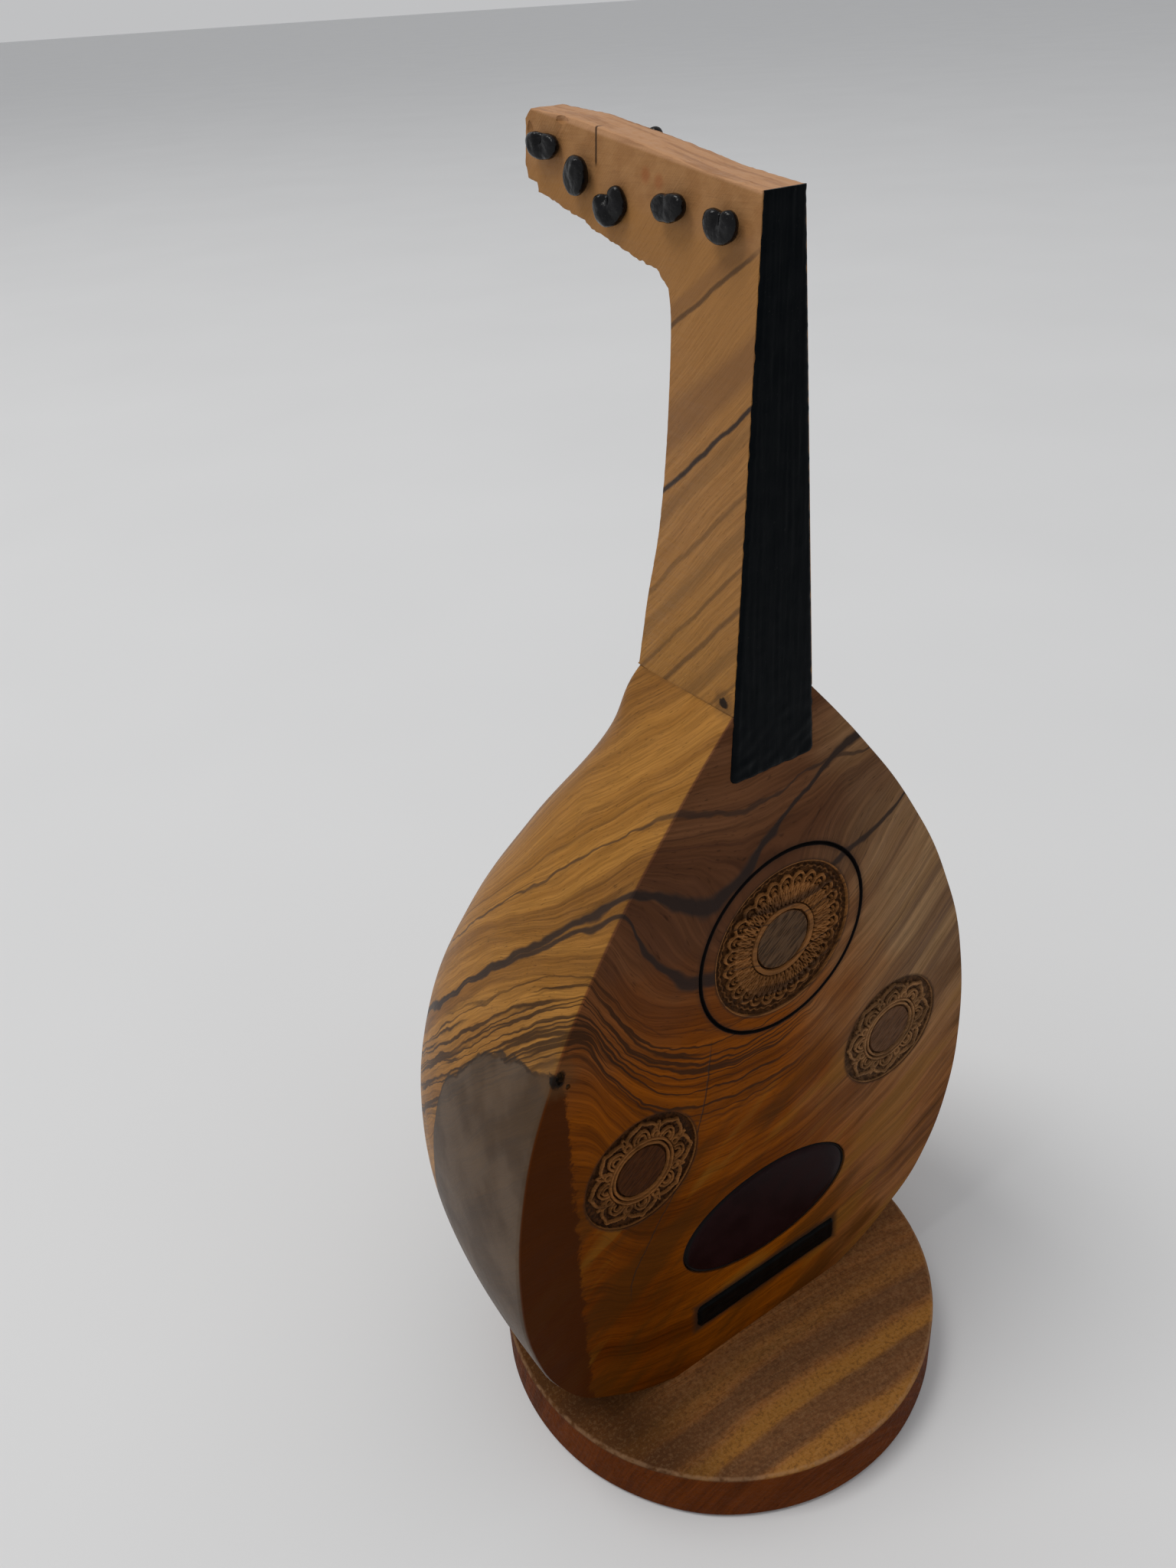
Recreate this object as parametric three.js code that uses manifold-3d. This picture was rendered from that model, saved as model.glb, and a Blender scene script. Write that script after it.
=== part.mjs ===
// A small display oud carved in olive wood, standing on a round foot. Millimetres, +Z up, front towards -Y.
// One carved block makes the bowl and the soundboard. A board sawn to an L makes the neck and head.
import * as THREE from "three";
import { mergeVertices } from "three/addons/utils/BufferGeometryUtils.js";
import Module from "manifold-3d";

const wasm = await Module();
wasm.setup();

// Foot
const FOOT_RADIUS = 30;
const FOOT_THICKNESS = 8.4;
const FOOT_EDGE_ROUND = 0.9;
const FRONT_AHEAD_OF_FOOT_CENTRE = 9.15;

// Body: height above the foot, half width and depth of the bowl at each station
const BODY_STATIONS = [
  [0, 14.6, 31],
  [5, 24.4, 37],
  [12, 31.2, 41.8],
  [22, 34.9, 44.2],
  [32, 35.8, 44.4],
  [48, 34.0, 41.4],
  [62, 29.2, 35.6],
  [75, 22.0, 27.8],
  [87, 13.0, 19.6],
  [96, 5.5, 15.4],
];
const BODY_HEIGHT = 96;
const BOWL_SIDE_SQUARENESS = 3.6;
const BOWL_BACK_SQUARENESS = 2.5;
const JOINT_SQUARENESS = 9;
const BODY_ROWS = 36;
const BODY_COLUMNS = 56;

// Neck and head board: side profile, depth behind the front and height above the foot
const BOARD_BACK = [[15.2, 96], [13.9, 104], [12.4, 111], [11.5, 120], [11.3, 130], [11.8, 133.6]];
const HEAD_UNDERSIDE = [[13.6, 134.8], [20.6, 136.5], [27.9, 138.7], [32.4, 139.9]];
const HEAD_END = [[32.7, 140.7], [34.2, 141.0], [34.7, 142.2], [34.5, 146.3], [33.6, 147.2]];
const HEAD_TOP = [[26, 146.6], [16, 145.0], [7, 143.3]];
const NUT_HEIGHT = 142.4;
const HALF_WIDTH_AT_NUT = 2.3;
const HALF_WIDTH_PER_MM = 0.0625;

// Fingerboard, oval guard and bridge bar
const FINGERBOARD_THICKNESS = 0.4;
const FINGERBOARD_END_HEIGHT = 88.3;
const GUARD_HALF_WIDTH = 13.7;
const GUARD_HALF_HEIGHT = 7.6;
const GUARD_THICKNESS = 1.0;
const GUARD_SUNK = 0.15;
const GUARD_CLEARANCE = 0.3;
const BAR_WIDTH = 24;
const BAR_HEIGHT = 3.9;
const BAR_THICKNESS = 0.4;

// Cut work on the soundboard: all of it is set a little to the right and turned by a small angle
const ART_X = 2.4;
const ART_TURN = 0.035;
const ROSETTE_HEIGHT = 64.8;
const ROSETTE_RADIUS = 10;
const ROSETTE_DEPTH = 0.5;
const RING_RADIUS = 12.05;
const RING_WIDTH = 0.6;
const RING_DEPTH = 0.4;
const SMALL_ROSETTE_OFFSET = 20;
const SMALL_ROSETTE_HEIGHT = 41.1;
const SMALL_ROSETTE_RADIUS = 8;
const SMALL_ROSETTE_DEPTH = 0.4;
const GUARD_HEIGHT = 21.9;
const BAR_X = 1.2;
const BAR_MID_HEIGHT = 9.05;

// Fixings hidden inside
const DOWEL_RADIUS = 1.8;
const DOWEL_LENGTH = 14;
const DOWEL_DEPTH_BACK = 7.6;
const HIDDEN_GAP = 0.05;
const END_GAP = 0.3;
const SCREW_RADIUS = 1.75;
const SCREW_HEAD_RADIUS = 3.6;
const SCREW_HEAD_HEIGHT = 2.2;
const SCREW_LENGTH = 24;
const SCREW_HEAD_SUNK = 0.6;
const SCREW_DEPTH_BACK = 15;
const SCREW_SLOT = [5.6, 0.8, 0.9];

// Pegs: depth behind the front and height of each seat, and how far each peg happens to be turned
const PEG_SEATS_LEFT = [[3.9, 139.7, 0], [10.8, 140.5, 0.5], [19.6, 139.9, 0.9], [24.6, 142.0, 2.2], [30.3, 144.3, 1.6]];
const PEG_SEATS_RIGHT = [[7.2, 139.9, 2.6], [14.6, 140.7, 0.4], [21.2, 144.3, 0.1], [26.9, 142.7, 1.3], [31.6, 142.9, 2.9]];
const PEG_SHANK_RADIUS = 0.6;
const PEG_RUNNING_GAP = 0.05;
const PEG_SHANK_IN_WOOD = 1.5;
const PEG_STANDOFF = 0.35;
const PEG_HEAD_THICKNESS = 1.15;
const PEG_HEAD_ROUND = 0.3;
const PEG_HEAD_SIZE = 1.5;
const PEG_SEGMENTS = 16;

const WOOD = 0xb98a52;
const BLACK = 0x0c0c10;

// Turns a three.js shape into a solid that can be cut and joined.
function solid(geometry) {
  const bare = geometry.index ? geometry.clone() : geometry;
  bare.deleteAttribute("normal");
  bare.deleteAttribute("uv");
  const welded = mergeVertices(bare, 1e-4);
  return new wasm.Manifold(new wasm.Mesh({
    numProp: 3,
    vertProperties: new Float32Array(welded.attributes.position.array),
    triVerts: new Uint32Array(welded.index.array),
  }));
}

function named(name, body, color, roughness) {
  const mesh = body.getMesh();
  const geometry = new THREE.BufferGeometry();
  geometry.setAttribute("position", new THREE.BufferAttribute(new Float32Array(mesh.vertProperties), 3));
  geometry.setIndex(new THREE.BufferAttribute(new Uint32Array(mesh.triVerts), 1));
  geometry.computeVertexNormals();
  const part = new THREE.Mesh(geometry, new THREE.MeshStandardMaterial({ color, roughness }));
  part.name = name;
  return part;
}

function halfWidthAt(height) {
  return HALF_WIDTH_AT_NUT + HALF_WIDTH_PER_MM * (NUT_HEIGHT - height);
}

// A round bar between two distances along +Z, before it is turned and placed.
function rod(radius, from, to, segments = 28) {
  const profile = [[0, from], [radius, from], [radius, to], [0, to]].map(([r, z]) => new THREE.Vector2(r, z));
  return new THREE.LatheGeometry(profile, segments).rotateX(Math.PI / 2);
}

// A cutter standing behind the front face: an outline in X and height, sunk to a depth.
function sunk(shape, depth, segments) {
  const settings = { depth: depth + 1, bevelEnabled: false, curveSegments: segments };
  return new THREE.ExtrudeGeometry(shape, settings).rotateX(Math.PI / 2).translate(0, depth, 0);
}

function ellipse(halfWidth, halfHeight) {
  return new THREE.Shape().absellipse(0, 0, halfWidth, halfHeight, 0, Math.PI * 2);
}

// Moves a piece of the cut work from its own place about the rosette to its place on the soundboard.
function placeArt(geometry, across, height) {
  return geometry
    .translate(across, 0, height - ROSETTE_HEIGHT)
    .rotateY(ART_TURN)
    .translate(ART_X, 0, ROSETTE_HEIGHT);
}

function foot() {
  const r = FOOT_RADIUS;
  const edge = FOOT_EDGE_ROUND;
  const outline = new THREE.Path();
  outline.moveTo(0, -FOOT_THICKNESS);
  outline.lineTo(r - edge, -FOOT_THICKNESS);
  outline.quadraticCurveTo(r, -FOOT_THICKNESS, r, edge - FOOT_THICKNESS);
  outline.lineTo(r, -edge);
  outline.quadraticCurveTo(r, 0, r - edge, 0);
  outline.lineTo(0, 0);
  const disc = new THREE.LatheGeometry(outline.getPoints(4), 72).rotateX(Math.PI / 2);
  return solid(disc.translate(0, FRONT_AHEAD_OF_FOOT_CENTRE, 0)).subtract(solid(screwOutline(END_GAP, true)));
}

// The countersunk screw's outline; the hole for it is the same outline, a little larger.
function screwOutline(gap, isHole) {
  const headBottom = SCREW_HEAD_SUNK - FOOT_THICKNESS;
  const start = isHole ? -FOOT_THICKNESS - 1 : headBottom;
  const tip = headBottom + SCREW_LENGTH + (isHole ? END_GAP : 0);
  const shank = SCREW_RADIUS + gap;
  const profile = [
    [0, start],
    [SCREW_HEAD_RADIUS + gap, start],
    [SCREW_HEAD_RADIUS + gap, headBottom + 0.3],
    [shank, headBottom + SCREW_HEAD_HEIGHT],
    [shank, tip - 2.5],
    [0, tip],
  ].map(([r, z]) => new THREE.Vector2(r, z));
  return new THREE.LatheGeometry(profile, 28).rotateX(Math.PI / 2).translate(0, SCREW_DEPTH_BACK, 0);
}

function footScrew() {
  const [length, width, depth] = SCREW_SLOT;
  const bottom = SCREW_HEAD_SUNK - FOOT_THICKNESS;
  const slot = new THREE.BoxGeometry(length, width, depth * 2).translate(0, SCREW_DEPTH_BACK, bottom);
  const cross = new THREE.BoxGeometry(width, length, depth * 2).translate(0, SCREW_DEPTH_BACK, bottom);
  return solid(screwOutline(0, false)).subtract(solid(slot)).subtract(solid(cross));
}

// The bowl is a stack of rounded sections behind a flat front, each from the same drum of points.
function bowl() {
  const curve = new THREE.CatmullRomCurve3(BODY_STATIONS.map(([z, w, d]) => new THREE.Vector3(w, d, z)));
  const drum = new THREE.CylinderGeometry(1, 1, 1, BODY_COLUMNS, BODY_ROWS).rotateX(Math.PI / 2);
  const point = drum.attributes.position;
  for (let i = 0; i < point.count; i += 1) {
    const station = curve.getPoint(THREE.MathUtils.clamp(point.getZ(i) + 0.5, 0, 1));
    const nearJoint = (station.z / BODY_HEIGHT) ** 30;
    const side = THREE.MathUtils.lerp(BOWL_SIDE_SQUARENESS, JOINT_SQUARENESS, nearJoint);
    const back = THREE.MathUtils.lerp(BOWL_BACK_SQUARENESS, JOINT_SQUARENESS, nearJoint);
    const radius = Math.hypot(point.getX(i), point.getY(i));
    const cos = radius > 0.5 ? point.getX(i) / radius : 0;
    const sin = radius > 0.5 ? Math.max(point.getY(i) / radius, 0) : 0.5;
    const isBehind = sin > 1e-6 && radius > 0.5;
    const across = isBehind ? Math.sign(cos) * Math.abs(cos) ** (2 / side) : cos;
    const deep = isBehind ? sin ** (2 / back) : radius > 0.5 ? 0 : sin;
    point.setXYZ(i, across * station.x, deep * station.y, station.z);
  }
  return solid(drum);
}

function body() {
  const rosette = placeArt(sunk(ellipse(ROSETTE_RADIUS, ROSETTE_RADIUS), ROSETTE_DEPTH, 24), 0, ROSETTE_HEIGHT);
  const ring = ellipse(RING_RADIUS + RING_WIDTH / 2, RING_RADIUS + RING_WIDTH / 2);
  ring.holes.push(ellipse(RING_RADIUS - RING_WIDTH / 2, RING_RADIUS - RING_WIDTH / 2));
  const groove = placeArt(sunk(ring, RING_DEPTH, 24), 0, ROSETTE_HEIGHT);
  const recess = ellipse(GUARD_HALF_WIDTH + GUARD_CLEARANCE, GUARD_HALF_HEIGHT + GUARD_CLEARANCE);
  const seat = placeArt(sunk(recess, GUARD_SUNK + GUARD_THICKNESS, 24), 0, GUARD_HEIGHT);
  let block = bowl();
  for (const cutter of [rosette, groove, seat, dowelHole(), screwOutline(HIDDEN_GAP, true)]) {
    block = block.subtract(solid(cutter));
  }
  for (const side of [-1, 1]) {
    const disc = sunk(ellipse(SMALL_ROSETTE_RADIUS, SMALL_ROSETTE_RADIUS), SMALL_ROSETTE_DEPTH, 20);
    block = block.subtract(solid(placeArt(disc, side * SMALL_ROSETTE_OFFSET, SMALL_ROSETTE_HEIGHT)));
  }
  return block;
}

function dowelSpan(gap, endGap) {
  const half = DOWEL_LENGTH / 2 + endGap;
  return rod(DOWEL_RADIUS + gap, -half, half).translate(0, DOWEL_DEPTH_BACK, BODY_HEIGHT);
}

function dowelHole() {
  return dowelSpan(HIDDEN_GAP, END_GAP);
}

// The L-shaped board is sawn from the side, then its two faces are tapered towards the nut.
function neckAndHead() {
  const outline = new THREE.Shape();
  outline.moveTo(0, BODY_HEIGHT);
  outline.lineTo(...BOARD_BACK[0]);
  outline.splineThru(BOARD_BACK.slice(1).map(([y, z]) => new THREE.Vector2(y, z)));
  for (const [y, z] of [...HEAD_UNDERSIDE, ...HEAD_END, ...HEAD_TOP]) outline.lineTo(y, z);
  outline.lineTo(0, NUT_HEIGHT);
  const settings = { depth: 2, bevelEnabled: false, curveSegments: 10 };
  const board = new THREE.ExtrudeGeometry(outline, settings)
    .translate(0, 0, -1)
    .rotateX(Math.PI / 2)
    .rotateZ(Math.PI / 2);
  const point = board.attributes.position;
  for (let i = 0; i < point.count; i += 1) point.setX(i, Math.sign(point.getX(i)) * halfWidthAt(point.getZ(i)));
  let wood = solid(board).subtract(solid(dowelHole()));
  for (const side of [-1, 1]) {
    for (const [back, height] of side < 0 ? PEG_SEATS_LEFT : PEG_SEATS_RIGHT) {
      const depth = PEG_SHANK_IN_WOOD + END_GAP;
      const hole = rod(PEG_SHANK_RADIUS + PEG_RUNNING_GAP, -depth, 1, PEG_SEGMENTS);
      wood = wood.subtract(solid(seatPeg(hole, side, back, height, 0)));
    }
  }
  return wood;
}

// Lays a peg shape that stands along +Z out sideways from its seat on the head.
function seatPeg(geometry, side, back, height, turn) {
  return geometry
    .rotateZ(turn)
    .rotateY((side * Math.PI) / 2)
    .translate(side * halfWidthAt(height), back, height);
}

// The front strip: its sides run on from the taper of the board behind it.
function fingerboard() {
  const top = halfWidthAt(NUT_HEIGHT);
  const end = halfWidthAt(FINGERBOARD_END_HEIGHT);
  const outline = new THREE.Shape();
  outline.moveTo(-end, FINGERBOARD_END_HEIGHT);
  outline.lineTo(end, FINGERBOARD_END_HEIGHT);
  outline.lineTo(top, NUT_HEIGHT);
  outline.lineTo(-top, NUT_HEIGHT);
  const settings = { depth: FINGERBOARD_THICKNESS, bevelEnabled: false };
  return solid(new THREE.ExtrudeGeometry(outline, settings).rotateX(Math.PI / 2));
}

function pickGuard() {
  const settings = { depth: GUARD_THICKNESS, bevelEnabled: false, curveSegments: 24 };
  const plate = new THREE.ExtrudeGeometry(ellipse(GUARD_HALF_WIDTH, GUARD_HALF_HEIGHT), settings);
  plate.rotateX(Math.PI / 2).translate(0, GUARD_SUNK + GUARD_THICKNESS, 0);
  return solid(placeArt(plate, 0, GUARD_HEIGHT));
}

function bridgeBar() {
  const bar = new THREE.BoxGeometry(BAR_WIDTH, BAR_THICKNESS, BAR_HEIGHT);
  return solid(bar.translate(BAR_X, -BAR_THICKNESS / 2, BAR_MID_HEIGHT));
}

// A peg: a round shank in the wood, and a thick two-lobed head standing a little off it.
function peg(side, back, height, turn) {
  const s = PEG_HEAD_SIZE - PEG_HEAD_ROUND;
  const lobes = new THREE.Shape();
  lobes.moveTo(0, -s);
  lobes.bezierCurveTo(-s, -0.9 * s, -1.15 * s, 0.2 * s, -0.95 * s, 0.6 * s);
  lobes.bezierCurveTo(-0.7 * s, 1.15 * s, -0.25 * s, 0.95 * s, 0, 0.45 * s);
  lobes.bezierCurveTo(0.25 * s, 0.95 * s, 0.7 * s, 1.15 * s, 0.95 * s, 0.6 * s);
  lobes.bezierCurveTo(1.15 * s, 0.2 * s, s, -0.9 * s, 0, -s);
  const head = new THREE.ExtrudeGeometry(lobes, {
    depth: PEG_HEAD_THICKNESS - 2 * PEG_HEAD_ROUND,
    bevelEnabled: true,
    bevelSize: PEG_HEAD_ROUND,
    bevelThickness: PEG_HEAD_ROUND,
    bevelSegments: 2,
    curveSegments: 4,
  }).translate(0, 0, PEG_STANDOFF + PEG_HEAD_ROUND);
  const shank = rod(PEG_SHANK_RADIUS, -PEG_SHANK_IN_WOOD, PEG_STANDOFF + PEG_HEAD_THICKNESS / 2, PEG_SEGMENTS);
  const whole = [shank, head].map((shape) => solid(seatPeg(shape, side, back, height, turn)));
  return whole[0].add(whole[1]);
}

const oud = new THREE.Group();
oud.add(named("foot", foot(), WOOD, 0.6));
oud.add(named("foot_screw", footScrew(), 0x9a9a98, 0.35));
oud.add(named("body", body(), WOOD, 0.5));
oud.add(named("neck_and_head", neckAndHead(), WOOD, 0.5));
oud.add(named("neck_dowel", solid(dowelSpan(0, 0)), 0xc8a878, 0.7));
oud.add(named("fingerboard", fingerboard(), BLACK, 0.45));
oud.add(named("pick_guard", pickGuard(), 0x3a2420, 0.5));
oud.add(named("bridge_bar", bridgeBar(), BLACK, 0.45));
PEG_SEATS_LEFT.forEach(([back, height, turn], i) => {
  oud.add(named(`peg_left_${i + 1}`, peg(-1, back, height, turn), BLACK, 0.2));
});
PEG_SEATS_RIGHT.forEach(([back, height, turn], i) => {
  oud.add(named(`peg_right_${i + 1}`, peg(1, back, height, turn), BLACK, 0.2));
});

// The origin goes under the middle of the whole oud, on the ground.
const middle = new THREE.Box3().setFromObject(oud).getCenter(new THREE.Vector3());
oud.traverse((part) => part.geometry?.translate(0, -middle.y, FOOT_THICKNESS));

export default oud;
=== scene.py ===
import math

import bmesh
import bpy
from mathutils import Euler, Matrix, Vector, noise


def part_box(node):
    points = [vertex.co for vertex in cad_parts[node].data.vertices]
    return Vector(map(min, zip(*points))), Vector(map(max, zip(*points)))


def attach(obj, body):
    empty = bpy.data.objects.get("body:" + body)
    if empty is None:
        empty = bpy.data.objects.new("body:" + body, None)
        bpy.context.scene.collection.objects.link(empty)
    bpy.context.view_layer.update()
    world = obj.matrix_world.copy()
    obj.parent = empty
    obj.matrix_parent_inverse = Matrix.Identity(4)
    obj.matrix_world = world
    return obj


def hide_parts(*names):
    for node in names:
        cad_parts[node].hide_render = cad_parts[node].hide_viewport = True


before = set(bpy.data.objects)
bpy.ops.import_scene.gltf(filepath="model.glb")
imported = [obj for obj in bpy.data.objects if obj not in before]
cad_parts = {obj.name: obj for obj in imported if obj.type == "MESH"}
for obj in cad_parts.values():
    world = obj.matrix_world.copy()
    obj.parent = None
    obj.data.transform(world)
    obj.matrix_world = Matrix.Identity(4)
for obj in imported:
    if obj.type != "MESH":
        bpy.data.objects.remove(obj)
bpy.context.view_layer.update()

# ---------------------------------------------------------------------------
# Foot
# A flat disc turned from banded olive wood and sanded, with its rim barely softened.
# It is bored and countersunk from below for the one screw that holds the body.
# ---------------------------------------------------------------------------
MM = 0.001
FOOT_RADIUS = 30.0
FOOT_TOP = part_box("foot")[1].z / MM
FOOT_CENTRE_Y = (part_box("foot")[0].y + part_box("foot")[1].y) / 2 / MM
FRONT_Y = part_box("body")[0].y / MM
SCREW_Y = (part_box("foot_screw")[0].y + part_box("foot_screw")[1].y) / 2 / MM
FOOT_TURNS = 256
# how dark and how ochre the figure is across the disc, 64 mm from front to back
FOOT_BANDS = [(0, 0.3), (2, 0.1), (4, 0.85), (6.5, 0.9), (7.6, 0.1), (9, 0.1), (10.5, 0.45), (12, 0.9), (14, 0.85),
              (15.2, 0.15), (17, 0.25), (18.5, 0.5), (20, 0.2), (23, 0.3), (26, 0.7), (29, 0.2), (33, 0.5), (37, 0.1),
              (41, 0.8), (46, 0.2), (52, 0.7), (58, 0.1), (64, 0.5)]
FOOT_OCHRE = [(0, 0.3), (2, 0.9), (3, 0.4), (4.5, 0.0), (7, 0.3), (8, 1.0), (9.3, 0.8), (10.5, 0.1), (14, 0.0), (16, 0.4),
              (18, 0.15), (22, 0.0), (34, 0.4), (38, 0.0), (48, 0.7), (54, 0.0), (64, 0.4)]


def place_mesh(name, points, faces, material, smooth=40):
    """A new piece from points in millimetres, welded, with its faces turned outwards."""
    mesh = bpy.data.meshes.new(name)
    mesh.from_pydata([Vector(p) * MM for p in points], [], faces)
    shell = bmesh.new()
    shell.from_mesh(mesh)
    bmesh.ops.remove_doubles(shell, verts=shell.verts, dist=2e-7)
    bmesh.ops.dissolve_degenerate(shell, dist=1e-8, edges=shell.edges)
    bmesh.ops.recalc_face_normals(shell, faces=shell.faces)
    shell.to_mesh(mesh)
    shell.free()
    piece = bpy.data.objects.new(name, mesh)
    bpy.context.scene.collection.objects.link(piece)
    finish_surface(piece, material, smooth)
    return piece


def finish_surface(piece, material, smooth=40):
    """One material, and soft shading that breaks at edges sharper than the angle given."""
    piece.data.materials.clear()
    piece.data.materials.append(material)
    for face in piece.data.polygons:
        face.use_smooth = True
        face.material_index = 0
    piece.data.set_sharp_from_angle(angle=math.radians(smooth))


def fix_to(piece, body, nodes):
    """The piece rides on a body and stands for these solids, which are hidden."""
    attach(piece, body)
    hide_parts(*nodes)


def baked(piece):
    """The piece with its modifiers worked into a plain mesh."""
    depsgraph = bpy.context.evaluated_depsgraph_get()
    depsgraph.update()
    made = bpy.data.meshes.new_from_object(piece.evaluated_get(depsgraph))
    made.name = piece.name
    piece.modifiers.clear()
    piece.data = made
    return piece


def turned(profile, turns, centre):
    """Points and faces of a closed profile of radius and height, turned about an upright axis."""
    points = []
    faces = []
    for i in range(turns):
        angle = 2 * math.pi * i / turns
        for radius, height in profile:
            points.append((centre[0] + radius * math.cos(angle), centre[1] + radius * math.sin(angle), height))
    rows = len(profile)
    for i in range(turns):
        j = (i + 1) % turns
        for k in range(rows - 1):
            faces.append((i * rows + k, j * rows + k, j * rows + k + 1, i * rows + k + 1))
    return points, faces


def add(tree, kind, inputs=None, **settings):
    """A node with its settings and inputs; an input is a value, or another node's output."""
    made = tree.nodes.new(kind)
    for key, value in settings.items():
        setattr(made, key, value)
    for key, value in (inputs or {}).items():
        if isinstance(value, bpy.types.NodeSocket):
            tree.links.new(value, made.inputs[key])
        else:
            made.inputs[key].default_value = value
    return made


def calc(tree, operation, *values, clamp=False):
    made = add(tree, "ShaderNodeMath", dict(enumerate(values)), operation=operation, use_clamp=clamp)
    return made.outputs[0]


def fade(tree, value, start, end, low=0.0, high=1.0):
    """A smooth step of value between start and end."""
    inputs = {0: value, 1: start, 2: end, 3: low, 4: high}
    return add(tree, "ShaderNodeMapRange", inputs, interpolation_type="SMOOTHSTEP").outputs[0]


def tint(tree, factor, first, second, blend="MIX"):
    """Two colours mixed by a factor."""
    made = add(tree, "ShaderNodeMix", data_type="RGBA", blend_type=blend, clamp_factor=True)
    for index, value in ((0, factor), (6, first), (7, second)):
        if isinstance(value, bpy.types.NodeSocket):
            tree.links.new(value, made.inputs[index])
        elif index == 0:
            made.inputs[index].default_value = value
        else:
            made.inputs[index].default_value = (*value, 1.0)
    return made.outputs[2]


def speckle(tree, vector, scale, detail=2.0, roughness=0.5):
    inputs = {"Vector": vector, "Scale": scale, "Detail": detail, "Roughness": roughness}
    return add(tree, "ShaderNodeTexNoise", inputs, noise_dimensions="3D").outputs[0]


def curve_of(tree, values, top, value):
    """A Float Curve through points of height share and value share."""
    made = add(tree, "ShaderNodeFloatCurve", {"Factor": 1.0, "Value": value})
    points = made.mapping.curves[0].points
    shares = [(z / values[-1][0], v / top) for z, v in values]
    points[0].location = shares[0]
    points[1].location = shares[-1]
    for share in shares[1:-1]:
        points.new(*share)
    made.mapping.update()
    return made.outputs[0]


def new_group(name, inputs, outputs, kind="ShaderNodeTree"):
    """A node group with named sockets, and its input and output nodes."""
    tree = bpy.data.node_groups.new(name, kind)
    for label, (socket, default) in inputs.items():
        made = tree.interface.new_socket(label, in_out="INPUT", socket_type=socket)
        if default is not None:
            made.default_value = default
    for label, socket in outputs.items():
        tree.interface.new_socket(label, in_out="OUTPUT", socket_type=socket)
    return tree, tree.nodes.new("NodeGroupInput"), tree.nodes.new("NodeGroupOutput")


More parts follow.
